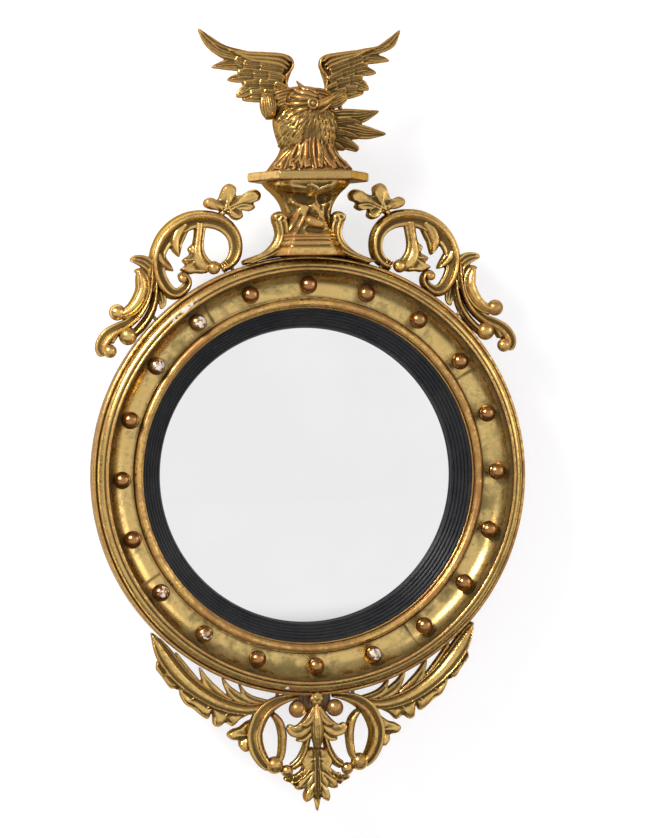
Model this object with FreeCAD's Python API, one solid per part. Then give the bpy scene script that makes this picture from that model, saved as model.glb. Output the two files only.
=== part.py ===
"""Round convex wall mirror in a carved and gilded frame, with an eagle crest.

Frame of the part: millimetres, +Z up, the wall is the plane Y = 0 and the front
faces -Y.  The origin is the centre of the ring on the wall.  Carved pieces are
drawn as outlines in the X-Z plane for the left half (X < 0) and mirrored.
"""
import FreeCAD
import Part
import math
import os

V = FreeCAD.Vector
Y_AXIS = V(0, 1, 0)
X_AXIS = V(1, 0, 0)

# ---- driving dimensions: the ring -------------------------------------------------
RING_RADIUS = 300.0          # outer wall of the ring
RING_DEPTH = 88.0            # wall plane to the frontmost bead
PAD_THICKNESS = 6.0          # felt pads that hold the ring off the wall
BACK_RING_THICKNESS = 28.0   # laminated ring behind the mouldings
BACK_RING_INSET = 10.0       # how far the back ring stays inside the outer wall
OUTER_WIDTH = 20.7           # radial width of the outer moulding
COVE_WIDTH = 34.5            # radial width of the hollow moulding
INNER_WIDTH = 15.0           # radial width of the inner gilt moulding
SLIP_WIDTH = 24.6            # radial width of the black reeded slip
SLIP_FRONT_DEPTH = 37.5      # slip's outer edge behind the front bead
SLIP_LIP_DEPTH = 64.0        # slip's sight edge behind the front bead
SLIP_LIP_HEIGHT = 4.0        # upright sight edge of the slip
REED_COUNT = 6
REED_CROWN = 0.25            # height of a reed as a share of its width
WALL_START = 19.0            # where the outer wall starts behind the front bead
WALL_END = 49.0              # where the outer wall ends behind the front bead
WALL_STEP = 4.0              # how far the ring draws in behind its outer wall
WALL_CHAMFER = 2.0
# profiles as (outwards from the moulding's inner edge, back from the front bead)
BEAD_FOOT, BEAD_CROWN, BEAD_EDGE = (0.0, 1.5), (2.1, 0.0), (4.2, 2.0)
ROUND_START, ROUND_CROWN, ROUND_END = (4.9, 4.8), (11.2, 6.6), (14.7, 15.0)
GROOVE_FLOOR, RIDGE_FOOT, RIDGE_CROWN = (15.3, 18.0), (16.4, 16.0), (18.8, 15.9)
INNER_FILLET = ((0.0, 36.5), (1.3, 35.2), (2.5, 36.5))
INNER_BEAD = ((2.7, 31.0), (7.4, 23.0), (12.1, 31.0))
INNER_STEP = (12.4, 40.0)    # groove between the inner bead and the hollow
COVE_RADIUS = 30.0
COVE_CENTRE_DEPTH = 4.7      # cove's centre behind the front bead
BALL_RADIUS = 12.2
BALL_COUNT = 20
BALL_INSET = 40.0            # ball centres inside the outer wall
BALL_PIN_RADIUS = 1.3
BALL_PIN_IN_BALL = 7.0
BALL_PIN_IN_COVE = 8.0
COVE_SEGMENTS = 4
COVE_JOINT_ANGLE = 58.5      # first joint, clockwise from the top

# ---- glass and back ---------------------------------------------------------------
GLASS_THICKNESS = 4.0
GLASS_RISE = 24.0            # how far the middle stands in front of the rim
GLASS_LAP = 6.7              # rim of the glass behind the slip
GLASS_RIM_ROOM = 3.0         # free room round the rim
GLASS_RIM_DEPTH = 64.0       # front of the rim behind the front bead
BLOCK_COUNT = 12
BLOCK_ANGLE = 6.0            # each glazing block's length, degrees
BLOCK_WIDTH = 8.5
BOARD_THICKNESS = 6.0
BOARD_LAP = 14.0             # backboard over its ledge
BOARD_LEDGE_Y = -14.0
BOARD_SCREWS = 8
SCREW_RADIUS = 1.75
SCREW_HEAD_RADIUS = 3.5
SCREW_HEAD_HEIGHT = 1.9
SCREW_LENGTH = 16.0

# ---- hanging hardware -------------------------------------------------------------
PAD_RADIUS = 10.0
PAD_ANGLES = (22.0, 158.0, 202.0, 338.0)
HANGER_ANGLE = 40.0          # each side of the top
HANGER_WIDTH = 30.0
HANGER_HEIGHT = 36.0
HANGER_THICKNESS = 1.5
HANGER_RING_RADIUS = 9.0     # centre line of the ring's wire
HANGER_WIRE_RADIUS = 1.2
HANGER_AXIS_Y = -3.0
HANGER_EAR_WIDTH = 5.0
HANGER_BAR_RADIUS = 1.2
HANGER_SCREW_PLACES = ((-9.0, -12.0), (9.0, -12.0), (0.0, -5.0))
HANGER_BORE_CLEARANCE = 0.1
HANGER_AXIS_DROP = 6.0       # ring's bar below the plate's top edge
HANGER_EAR_HEIGHT = 4.4
HANGER_EAR_COVER = 1.8       # how far the ears reach behind the bar's axis
STRAP_THICKNESS = 2.5
STRAP_WIDTH = 20.0
STRAP_SCREW_STEP = 12.0      # strap screws from the middle of the back ring's face
STRAP_LAP = 24.0             # strap end from the middle of the back ring's face
CREST_SCREWS_OUT = (30.0, 56.0)
CREST_STRAP_OUT = 70.0
APRON_SCREW_OUT = 12.0
APRON_STRAP_OUT = 22.0

# ---- clearances -------------------------------------------------------------------
GAP = 0.3                    # between pieces that are glued or pinned together
DRAWN_RADIUS = 300.0         # ring radius for which the carved outlines are drawn

# ---- carving: depths (Y) ----------------------------------------------------------
SCROLL_FRONT, SCROLL_BACK = -72.0, -46.0
BRANCH_FRONT, BRANCH_BACK = -66.0, -49.0
OAK_FRONT, OAK_BACK = -64.0, -46.0
TENDRIL_FRONT, TENDRIL_BACK = -78.0, -52.0
RAIL_FRONT, RAIL_BACK = -76.0, -44.0
BRACKET_FRONT, BRACKET_BACK = -92.0, -66.0
LOOP_FRONT, LOOP_BACK = -76.0, -50.0
ACANTHUS_FRONT, ACANTHUS_BACK = -66.0, -44.0
LEAF_FRONT, LEAF_BACK = -60.0, -42.0
SPINE_FRONT, SPINE_BACK = -76.0, -56.0
PENDANT_FRONT, PENDANT_BACK = -70.0, -48.0

# ---- carving: plinth and eagle ----------------------------------------------------
PLINTH_BASE_Z = 312.0
PLINTH_BASE_HEIGHT = 12.0
PLATFORM_Z = 401.0
PLATFORM_THICKNESS = 9.0
PLATFORM_CENTRE_Y = -83.5
PLATFORM_HALF_WIDTH = 84.0
PLATFORM_FRONT_HALF = 48.0
PLATFORM_HALF_DEPTH = 52.0
MOUND_HEIGHT = 36.0
MOUND_RINGS = ((0.0, 59, 42), (10.0, 54, 38), (24.0, 46, 32), (MOUND_HEIGHT, 40, 28))
PLINTH_BASE_LOW = (52, -104)     # half width and front at the base's foot
PLINTH_BASE_HIGH = (42, -100)    # and at its top
PLINTH_BASE_FOOT = 14.0          # how far the base laps over the rail
PLINTH_LEVELS = (                # share of the height, half width, front
    (0.0, 40, -98), (0.13, 34, -95), (0.3, 29.5, -93), (0.44, 30, -95),
    (0.58, 35, -101), (0.72, 43, -109), (0.86, 50, -117), (1.0, 55, -123),
)
PLINTH_CORNER = 0.42             # cut corner as a share of the half width
PLINTH_CORNER_DEPTH = 1.3
PLINTH_BACK_CORNER = 4.0
EAGLE_Y = -83.5
WING_THICKNESS = 16.0
WING_SWEEP = 0.28            # backward slope of the wings towards their tips
TAIL_SETBACK = 4.3           # front of the tail fan behind the eagle's middle
TAIL_THICKNESS = 14.0
PEG_RADIUS = 4.0
BATTEN_HALF_WIDTH = 22.0
BATTEN_BACK = -PAD_THICKNESS
CREST_BATTEN_IN = 12.0       # crest batten's foot inside the ring's outer radius
APRON_BLOCK_OUT = 24.0       # apron block below the ring
APRON_BLOCK_IN = 6.0

# ---- derived places ---------------------------------------------------------------
FRONT_Y = -RING_DEPTH
RING_BACK_Y = -PAD_THICKNESS
SEAT_Y = RING_BACK_Y - BACK_RING_THICKNESS
OUTER_IN = RING_RADIUS - OUTER_WIDTH
COVE_OUT = OUTER_IN - GAP
COVE_IN = COVE_OUT - COVE_WIDTH
INNER_OUT = COVE_IN - GAP
INNER_IN = INNER_OUT - INNER_WIDTH
SLIP_OUT = INNER_IN - GAP
SIGHT_RADIUS = SLIP_OUT - SLIP_WIDTH
GLASS_RADIUS = SIGHT_RADIUS + GLASS_LAP
BACK_RING_IN = GLASS_RADIUS + GLASS_RIM_ROOM
BACK_RING_OUT = RING_RADIUS - BACK_RING_INSET
BOARD_RADIUS = BACK_RING_IN + BOARD_LAP
BACK_RING_MIDDLE = (BOARD_RADIUS + BACK_RING_OUT) / 2
GLASS_RIM_Y = FRONT_Y + GLASS_RIM_DEPTH
GLASS_SPHERE = (GLASS_RADIUS ** 2 + GLASS_RISE ** 2) / (2 * GLASS_RISE)
COVE_CENTRE_R = COVE_OUT - COVE_RADIUS
COVE_CENTRE_Y = FRONT_Y + COVE_CENTRE_DEPTH
BALL_RING = RING_RADIUS - BALL_INSET
PLATFORM_TOP = PLATFORM_Z + PLATFORM_THICKNESS
LIFT = RING_RADIUS - DRAWN_RADIUS    # how far the carving moves out with the ring
SIDE_CREST_ANGLE = -40.0


# ---- small geometry helpers -------------------------------------------------------
def polar(radius, angle, y=0.0):
    """Point on a circle round the ring's axis, the angle clockwise from the top."""
    a = math.radians(angle)
    return V(radius * math.sin(a), y, radius * math.cos(a))


def revolve(section, start=0.0, sweep=360.0):
    """Turn a section face, drawn as (radius, y), about the ring's axis."""
    face = Part.Face(Part.Wire(section))
    if start:
        face.rotate(V(), Y_AXIS, start)
    return face.revolve(V(), Y_AXIS, sweep)


def line(a, b):
    return Part.LineSegment(V(*a, 0), V(*b, 0)).toShape()


def arc(a, m, b):
    return Part.Arc(V(*a, 0), V(*m, 0), V(*b, 0)).toShape()


def chain(points):
    return [line(a, b) for a, b in zip(points, points[1:])]


def stroke(points, y):
    """One smooth edge through the (x, z) points."""
    vectors = [V(x, y, z) for x, z in points]
    if len(vectors) == 2:
        return Part.LineSegment(*vectors).toShape()
    curve = Part.BSplineCurve()
    curve.interpolate(vectors)
    return curve.toShape()


def plate(strokes, front, back):
    """Solid between two depths.  Strokes are smooth and meet at corners."""
    wire = Part.Wire([stroke(points, front) for points in strokes])
    return Part.Face(wire).extrude(V(0, back - front, 0))


def band(centre, front, back, grow=0.0):
    """Scroll band along (x, z, half width) points, with square ends."""
    left, right = [], []
    last = len(centre) - 1
    for i, (x, z, half) in enumerate(centre):
        ax, az, _ = centre[max(i - 1, 0)]
        bx, bz, _ = centre[min(i + 1, last)]
        length = math.hypot(bx - ax, bz - az)
        nx, nz = -(bz - az) / length, (bx - ax) / length
        tx, tz = nz, -nx
        end = grow * ((i == last) - (i == 0))
        wide = half + grow
        left.append((x + nx * wide + tx * end, z + nz * wide + tz * end))
        right.append((x - nx * wide + tx * end, z - nz * wide + tz * end))
    right.reverse()
    edges = [left, [left[-1], right[0]], right, [right[-1], left[0]]]
    return plate(edges, front - grow, back + grow)


def ball(x, y, z, radius):
    return Part.makeSphere(radius, V(x, y, z))


def rod(start, direction, length, radius):
    return Part.makeCylinder(radius, length, start, direction)


def mirror_x(shape):
    return shape.mirror(V(), X_AXIS)


def outward(shape, angle):
    """Move carving that is drawn for the drawn ring out to the real ring."""
    moved = shape.copy()
    moved.translate(polar(LIFT, angle))
    return moved


def ring_cutter():
    """The room of the ring itself, grown by the clearance."""
    return Part.makeCylinder(RING_RADIUS + GAP, RING_DEPTH + 40, V(0, FRONT_Y - 20, 0), Y_AXIS)


def ellipse_loft(rings):
    """Smooth solid through (z, centre x, centre y, half x, half y) ellipses."""
    wires = []
    for z, cx, cy, half_x, half_y in rings:
        major, minor = max(half_x, half_y), min(half_x, half_y)
        ellipse = Part.Ellipse(V(), major, minor).toShape()
        wire = Part.Wire([ellipse])
        if half_y > half_x:
            wire.rotate(V(), V(0, 0, 1), 90)
        wire.translate(V(cx, cy, z))
        wires.append(wire)
    return Part.makeLoft(wires, True)


# ---- the ring ---------------------------------------------------------------------
def back_ring():
    points = [
        (BACK_RING_IN, SEAT_Y), (BACK_RING_OUT, SEAT_Y), (BACK_RING_OUT, RING_BACK_Y),
        (BOARD_RADIUS + GAP, RING_BACK_Y), (BOARD_RADIUS + GAP, BOARD_LEDGE_Y),
        (BACK_RING_IN, BOARD_LEDGE_Y), (BACK_RING_IN, SEAT_Y),
    ]
    solid = revolve(chain(points))
    holes = board_screw_holes() + hanger_screw_holes() + strap_screw_holes()
    return solid.cut(Part.makeCompound(holes))


def profile(points, inner_radius):
    """Profile points as (radius, y)."""
    return [(inner_radius + out, FRONT_Y + back) for out, back in points]


def outer_moulding():
    foot, bead, edge = profile((BEAD_FOOT, BEAD_CROWN, BEAD_EDGE), OUTER_IN)
    start, crown, end = profile((ROUND_START, ROUND_CROWN, ROUND_END), OUTER_IN)
    floor, ridge_foot, ridge = profile((GROOVE_FLOOR, RIDGE_FOOT, RIDGE_CROWN), OUTER_IN)
    rim = (RING_RADIUS, FRONT_Y + WALL_START)
    inset = RING_RADIUS - WALL_STEP
    edges = [line((OUTER_IN, SEAT_Y), foot), arc(foot, bead, edge), line(edge, start)]
    edges += [arc(start, crown, end), line(end, floor), line(floor, ridge_foot)]
    edges += [arc(ridge_foot, ridge, rim)]
    edges += chain([
        rim, (RING_RADIUS, FRONT_Y + WALL_END), (inset, FRONT_Y + WALL_END + WALL_CHAMFER),
        (inset, SEAT_Y), (OUTER_IN, SEAT_Y),
    ])
    return revolve(edges).cut(Part.makeCompound(dowel_rods(GAP)))


def cove_section():
    start = (COVE_OUT, COVE_CENTRE_Y)
    drop = math.sqrt(COVE_RADIUS ** 2 - (COVE_CENTRE_R - COVE_IN) ** 2)
    end = (COVE_IN, COVE_CENTRE_Y + drop)
    half = COVE_RADIUS * math.sqrt(0.5)
    middle = (COVE_CENTRE_R + half, COVE_CENTRE_Y + half)
    return [arc(start, middle, end)] + chain([end, (COVE_IN, SEAT_Y), (COVE_OUT, SEAT_Y), start])


def ball_places():
    """Centre of each ball and the direction from it square into the cove."""
    reach = COVE_RADIUS - GAP - BALL_RADIUS
    dr = BALL_RING - COVE_CENTRE_R
    dy = math.sqrt(reach ** 2 - dr ** 2)
    places = []
    for k in range(BALL_COUNT):
        angle = 360.0 * k / BALL_COUNT
        centre = polar(BALL_RING, angle, COVE_CENTRE_Y + dy)
        inward = polar(dr, angle, dy).normalize()
        places.append((centre, inward))
    return places


def ball_pins(grow=0.0):
    length = BALL_PIN_IN_BALL + GAP + BALL_PIN_IN_COVE
    pins = []
    for centre, inward in ball_places():
        start = centre + inward * (BALL_RADIUS - BALL_PIN_IN_BALL - grow)
        pins.append(rod(start, inward, length + 2 * grow, BALL_PIN_RADIUS + grow))
    return pins


def cavetto_segments():
    holes = Part.makeCompound(ball_pins(GAP))
    sweep = 360.0 / COVE_SEGMENTS
    joint = math.degrees(GAP / COVE_OUT)
    segments = []
    for k in range(COVE_SEGMENTS):
        start = COVE_JOINT_ANGLE - 90.0 + k * sweep
        segment = revolve(cove_section(), start + joint, sweep - joint)
        segments.append(segment.cut(holes))
    return segments


def spherules():
    holes = ball_pins(GAP)
    balls = []
    for (centre, _), hole in zip(ball_places(), holes):
        balls.append(Part.makeSphere(BALL_RADIUS, centre).cut(hole))
    return Part.makeCompound(balls)


def inner_moulding():
    fillet = profile(INNER_FILLET, INNER_IN)
    bead = profile(INNER_BEAD, INNER_IN)
    step = profile([INNER_STEP], INNER_IN)[0]
    edges = chain([(INNER_OUT, SEAT_Y), (INNER_IN, SEAT_Y), fillet[0]])
    edges += [arc(*fillet), line(fillet[2], bead[0]), arc(*bead)]
    edges += chain([bead[2], step, (INNER_OUT, step[1]), (INNER_OUT, SEAT_Y)])
    return revolve(edges)


def glass_front(radius, offset=0.0):
    """Y of the front of the glass at a radius, moved forward by the offset."""
    apex = GLASS_RIM_Y - GLASS_RISE
    return apex + GLASS_SPHERE - math.sqrt((GLASS_SPHERE + offset) ** 2 - radius ** 2)


def ebonised_slip():
    """Sloping black slip: a row of half-round reeds between two square edges."""
    outer = (SLIP_OUT, FRONT_Y + SLIP_FRONT_DEPTH)
    inner = (SIGHT_RADIUS, FRONT_Y + SLIP_LIP_DEPTH - SLIP_LIP_HEIGHT)
    edges = []
    dr = (inner[0] - outer[0]) / REED_COUNT
    dy = (inner[1] - outer[1]) / REED_COUNT
    for k in range(REED_COUNT):
        a = (outer[0] + k * dr, outer[1] + k * dy)
        b = (a[0] + dr, a[1] + dy)
        crown = ((a[0] + b[0]) / 2 - REED_CROWN * dy, (a[1] + b[1]) / 2 + REED_CROWN * dr)
        edges.append(arc(a, crown, b))
    lip = (SIGHT_RADIUS, glass_front(SIGHT_RADIUS, GAP))
    rim = (GLASS_RADIUS, glass_front(GLASS_RADIUS, GAP))
    foot = BACK_RING_IN - (GAP if rim[1] > SEAT_Y else 0.0)
    edges += chain([inner, lip, rim, (foot, rim[1]), (foot, SEAT_Y), (SLIP_OUT, SEAT_Y), outer])
    return revolve(edges)


def mirror_plate():
    apex = GLASS_RIM_Y - GLASS_RISE
    half = GLASS_RADIUS / 2
    t = GLASS_THICKNESS
    front = [(0, apex), (half, glass_front(half)), (GLASS_RADIUS, GLASS_RIM_Y)]
    back = [(x, y + t) for x, y in reversed(front)]
    edges = [arc(*front), line(front[-1], back[0]), arc(*back), line(back[-1], front[0])]
    return revolve(edges)


def glazing_blocks():
    outer = BACK_RING_IN - GAP
    front = GLASS_RIM_Y + GLASS_THICKNESS + GAP
    back = BOARD_LEDGE_Y - GAP
    points = [(outer - BLOCK_WIDTH, front), (outer, front), (outer, back), (outer - BLOCK_WIDTH, back)]
    blocks = []
    for k in range(BLOCK_COUNT):
        start = 360.0 * k / BLOCK_COUNT - BLOCK_ANGLE / 2
        blocks.append(revolve(chain(points + points[:1]), start, BLOCK_ANGLE))
    return Part.makeCompound(blocks)


def backboard():
    disc = Part.makeCylinder(BOARD_RADIUS, BOARD_THICKNESS, V(0, BOARD_LEDGE_Y, 0), Y_AXIS)
    return disc.cut(Part.makeCompound(board_screw_holes()))


# ---- screws -----------------------------------------------------------------------
def screw(head_seat):
    """Pan-head screw that points to -Y, with the head's underside on the seat."""
    head = rod(head_seat, Y_AXIS, SCREW_HEAD_HEIGHT, SCREW_HEAD_RADIUS)
    shank = rod(head_seat, -Y_AXIS, SCREW_LENGTH, SCREW_RADIUS)
    return head.fuse(shank).removeSplitter()


def screw_hole(head_seat):
    return rod(head_seat, -Y_AXIS, SCREW_LENGTH + GAP, SCREW_RADIUS + GAP)


def board_screw_seats():
    radius = BACK_RING_IN + BOARD_LAP / 2
    y = BOARD_LEDGE_Y + BOARD_THICKNESS
    return [polar(radius, 360.0 * (k + 0.5) / BOARD_SCREWS, y) for k in range(BOARD_SCREWS)]


def board_screw_holes():
    return [screw_hole(seat) for seat in board_screw_seats()]


def screws(seats):
    return Part.makeCompound([screw(seat) for seat in seats])


# ---- hanging hardware and back braces ---------------------------------------------
def hanger_centres():
    return [polar(BACK_RING_MIDDLE, side * HANGER_ANGLE, RING_BACK_Y) for side in (-1, 1)]


def hanger_screw_seats():
    seats = []
    for centre in hanger_centres():
        for dx, dz in HANGER_SCREW_PLACES:
            seats.append(centre + V(dx, HANGER_THICKNESS, dz))
    return seats


def hanger_screw_holes():
    return [screw_hole(seat) for seat in hanger_screw_seats()]


def hanger_axis_z(centre):
    return centre.z + HANGER_HEIGHT / 2 - HANGER_AXIS_DROP


def hanger_plate(centre):
    """Brass plate with two ears that hold the bar of the hanging ring."""
    w, h, t = HANGER_WIDTH, HANGER_HEIGHT, HANGER_THICKNESS
    plate_box = Part.makeBox(w, t, h, V(centre.x - w / 2, centre.y, centre.z - h / 2))
    z = hanger_axis_z(centre)
    inner = HANGER_RING_RADIUS + HANGER_WIRE_RADIUS + GAP
    ears = []
    for side in (-1, 1):
        x = centre.x + side * (inner + HANGER_EAR_WIDTH / 2) - HANGER_EAR_WIDTH / 2
        tall = HANGER_AXIS_Y - centre.y + HANGER_EAR_COVER
        corner = V(x, centre.y, z - HANGER_EAR_HEIGHT / 2)
        ear = Part.makeBox(HANGER_EAR_WIDTH, tall, HANGER_EAR_HEIGHT, corner)
        ears.append(ear)
    solid = plate_box.fuse(ears).removeSplitter()
    bore = rod(V(centre.x - w, HANGER_AXIS_Y, z), X_AXIS, 2 * w, HANGER_BAR_RADIUS + HANGER_BORE_CLEARANCE)
    holes = [screw_hole(seat) for seat in hanger_screw_seats()]
    return solid.cut(Part.makeCompound(holes + [bore]))


def hanger_ring(centre):
    """D ring: a straight bar in the ears and a round bow that hangs from it."""
    z = hanger_axis_z(centre)
    reach = HANGER_RING_RADIUS + HANGER_WIRE_RADIUS + GAP + HANGER_EAR_WIDTH
    bar = rod(V(centre.x - reach, HANGER_AXIS_Y, z), X_AXIS, 2 * reach, HANGER_BAR_RADIUS)
    low = V(centre.x, HANGER_AXIS_Y, z)
    bow = Part.makeTorus(HANGER_RING_RADIUS, HANGER_WIRE_RADIUS, low, Y_AXIS)
    keep = Part.makeBox(40, 10, 20, V(centre.x - 20, HANGER_AXIS_Y - 5, z - 20))
    return bar.fuse(bow.common(keep)).removeSplitter()


def strap_screw_seats():
    heights = [BACK_RING_MIDDLE - STRAP_SCREW_STEP, BACK_RING_MIDDLE + STRAP_SCREW_STEP]
    heights += [RING_RADIUS + out for out in CREST_SCREWS_OUT]
    heights += [-BACK_RING_MIDDLE + STRAP_SCREW_STEP, -BACK_RING_MIDDLE - STRAP_SCREW_STEP]
    heights.append(-RING_RADIUS - APRON_SCREW_OUT)
    return [V(0, RING_BACK_Y + STRAP_THICKNESS, z) for z in heights]


def strap_screw_holes():
    return [screw_hole(seat) for seat in strap_screw_seats()]


def strap(z_low, z_high):
    box = Part.makeBox(STRAP_WIDTH, STRAP_THICKNESS, z_high - z_low, V(-STRAP_WIDTH / 2, RING_BACK_Y, z_low))
    return box.cut(Part.makeCompound(strap_screw_holes()))


def crest_strap():
    return strap(BACK_RING_MIDDLE - STRAP_LAP, RING_RADIUS + CREST_STRAP_OUT)


def apron_strap():
    return strap(-RING_RADIUS - APRON_STRAP_OUT, -BACK_RING_MIDDLE + STRAP_LAP)


def batten(z_low, z_high, half_width, front):
    """Wooden block behind the carving, flush with the back of the ring."""
    box = Part.makeBox(2 * half_width, BATTEN_BACK - front, z_high - z_low, V(-half_width, front, z_low))
    return box.cut(ring_cutter()).cut(Part.makeCompound(strap_screw_holes()))


def crest_batten():
    return batten(RING_RADIUS - CREST_BATTEN_IN, PLATFORM_Z + LIFT, BATTEN_HALF_WIDTH, RAIL_BACK)


def apron_block(grow=0.0):
    low, high = -RING_RADIUS - APRON_BLOCK_OUT - grow, -RING_RADIUS + APRON_BLOCK_IN
    return batten(low, high, BATTEN_HALF_WIDTH + grow, SPINE_BACK - grow)


def wall_pads():
    places = [polar(BACK_RING_MIDDLE, angle, RING_BACK_Y) for angle in PAD_ANGLES]
    pads = [rod(place, Y_AXIS, PAD_THICKNESS, PAD_RADIUS) for place in places]
    return Part.makeCompound(pads)


# ---- carved outlines, left half ---------------------------------------------------
C_SCROLL = [
    (-171, 262, 4.5), (-180, 252, 5.0), (-192, 255, 8.0), (-202, 271, 10.0),
    (-206, 290, 10.0), (-205, 308, 10.0), (-199, 325, 11.0), (-186, 340, 12.0),
    (-168, 350, 12.0), (-148, 353, 12.0), (-128, 351, 11.0), (-110, 342, 10.0),
    (-99, 328, 8.5), (-96, 312, 8.0), (-99, 299, 7.5), (-108, 289, 6.5), (-117, 285, 5.5),
]
SCROLL_SPURS = [
    [[(-198, 318), (-190, 310), (-178, 300)], [(-178, 300), (-174, 306), (-175, 318), (-168, 330)],
     [(-168, 330), (-198, 318)]],
    [[(-203, 296), (-194, 291), (-184, 281)], [(-184, 281), (-192, 279), (-200, 277)],
     [(-200, 277), (-203, 296)]],
]
SCROLL_KNOB = (-129, 285, 9.5)
SCROLL_CURL = (-173, 272, 8.5)
BRANCH = [
    (-150, 343, 6.5), (-149, 326, 6.5), (-149, 310, 8.0), (-147, 297, 9.0), (-141, 287, 7.0),
]
FRILL = [
    [(-152, 316), (-160, 313), (-164, 304)], [(-164, 304), (-165, 298), (-172, 296)],
    [(-172, 296), (-171, 290), (-172, 283)], [(-172, 283), (-165, 276), (-158, 268)],
    [(-158, 268), (-152, 277), (-143, 279)], [(-143, 279), (-152, 316)],
]
OAK_LEAF = [
    [(-134, 358), (-139, 370), (-133, 382), (-118, 380)],
    [(-118, 380), (-113, 393), (-104, 398), (-95, 394), (-91, 385)],
    [(-91, 385), (-80, 389), (-68, 390), (-60, 382)],
    [(-60, 382), (-64, 372), (-76, 368), (-80, 362)],
    [(-80, 362), (-89, 363), (-94, 351)], [(-94, 351), (-104, 351), (-110, 357)],
    [(-110, 357), (-134, 358)],
]
OUTER_SCROLL = [
    (-239, 295, 3.5), (-229, 291, 7.0), (-224, 280, 10.0), (-224, 266, 11.5),
    (-227, 251, 11.0), (-235, 236, 9.0), (-245, 226, 7.0), (-253, 221, 5.5),
]
OUTER_BALL = (-262, 226, 11.0)
TENDRIL = [
    (-211, 264, 5.0), (-216, 248, 5.0), (-224, 232, 5.0), (-235, 219, 5.0), (-248, 210, 6.0),
    (-261, 204, 6.5), (-273, 195, 7.5), (-281, 184, 8.0), (-283, 176, 8.0), (-281, 169, 7.0),
]
TENDRIL_CURL = (-273, 173, 9.0)
STEM = [
    (-206, 252, 6.0), (-208, 238, 6.0), (-213, 225, 6.0), (-222, 213, 6.0), (-232, 203, 5.0),
]
STEM_BALL = (-248, 194, 12.5)
BRACKET = [
    (-38, 344, 6.0), (-42, 332, 6.0), (-51, 320, 5.5), (-63, 311, 5.0), (-74, 305, 4.5), (-85, 300, 4.0),
]
BRACKET_CURL = (-42, 347, 8.0)
RAIL_HALF_WIDTH = 88.0
RAIL_TOP_RADIUS = 238.0

LOOP = [
    (-24, -303, 3.0), (-39, -304, 5.0), (-55, -308, 7.0), (-70, -317, 9.0), (-81, -332, 10.5),
    (-86, -351, 11.0), (-83, -371, 10.5), (-75, -387, 8.5), (-66, -397, 6.5),
]
LOOP_INNER = [
    (-62, -324, 5.5), (-52, -336, 5.5), (-48, -350, 5.5), (-48, -365, 5.5), (-50, -380, 5.0),
    (-54, -392, 4.5),
]
UPPER_BALL = (-26, -318, 12.0)
LOWER_BALL = (-59, -393, 12.0)
LYRE = [
    (-9, -352, 4.0), (-14, -364, 5.0), (-17, -377, 5.5), (-25, -390, 6.0), (-35, -398, 5.5),
]
LYRE_BALL = (-42, -402, 8.5)
LINK = [(-44, -412, 3.0), (-32, -413, 4.5), (-20, -407, 4.5), (-10, -398, 3.5)]
PETAL = [(-5, -324, 3.5), (-12, -338, 6.0), (-23, -347, 7.0), (-34, -347, 5.0)]
PETAL_CURL = (-35, -342, 6.0)
LOOP_LEAF = [
    [(-88, -333), (-104, -338), (-118, -342)], [(-118, -342), (-124, -348), (-118, -356), (-106, -360)],
    [(-106, -360), (-104, -368), (-96, -373)], [(-96, -373), (-84, -374)], [(-84, -374), (-88, -333)],
]
ACANTHUS = [
    (-74, -312, 6.5), (-92, -314, 7.5), (-112, -312, 8.5), (-134, -304, 9.5), (-156, -291, 10.5),
    (-176, -275, 11.5), (-193, -256, 12.5), (-206, -237, 10.5), (-215, -222, 7.0), (-221, -211, 2.5),
]
ACANTHUS_LOBES = [
    [(-204, -258), (-216, -261)], [(-216, -261), (-212, -270), (-200, -282), (-188, -287)],
    [(-188, -287), (-184, -302), (-168, -311)], [(-168, -311), (-162, -321), (-148, -327)],
    [(-148, -327), (-142, -320), (-132, -316)], [(-132, -316), (-130, -320)],
    [(-130, -320), (-138, -329), (-130, -336)], [(-130, -336), (-118, -335), (-108, -324)],
    [(-108, -324), (-86, -319)],
    [(-86, -319), (-120, -308), (-170, -282), (-204, -258)],
]
INNER_LEAVES = [
    [[(-150, -290), (-172, -268), (-188, -244)], [(-188, -244), (-192, -236)],
     [(-192, -236), (-176, -248), (-150, -290)]],
    [[(-118, -304), (-140, -286), (-157, -257)], [(-157, -257), (-142, -270), (-118, -304)]],
    [[(-92, -308), (-112, -294), (-128, -272)], [(-128, -272), (-108, -286), (-92, -308)]],
]
LEAF_RAIL = [
    (-78, -309, 4.0), (-100, -306, 4.0), (-124, -298, 4.0), (-148, -285, 4.0), (-168, -269, 4.0),
]
PENDANT = [
    [(0, -376), (-9, -379), (-21, -389), (-19, -398), (-12, -403)],
    [(-12, -403), (-17, -414), (-27, -424)], [(-27, -424), (-26, -432), (-16, -436)],
    [(-16, -436), (-13, -447), (0, -458)],
]
SPINE_HALF_WIDTH = 6.0
SPINE_TOP, SPINE_LOW = -304.0, -375.7
ROSETTE_RADIUS = 9.0
ROSETTE_Z = -303.0
HUSK = [(-318.0, 3.0), (-330.0, 7.0), (-350.0, 9.0), (-364.0, 7.0), (-377.0, 1.5)]

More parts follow.
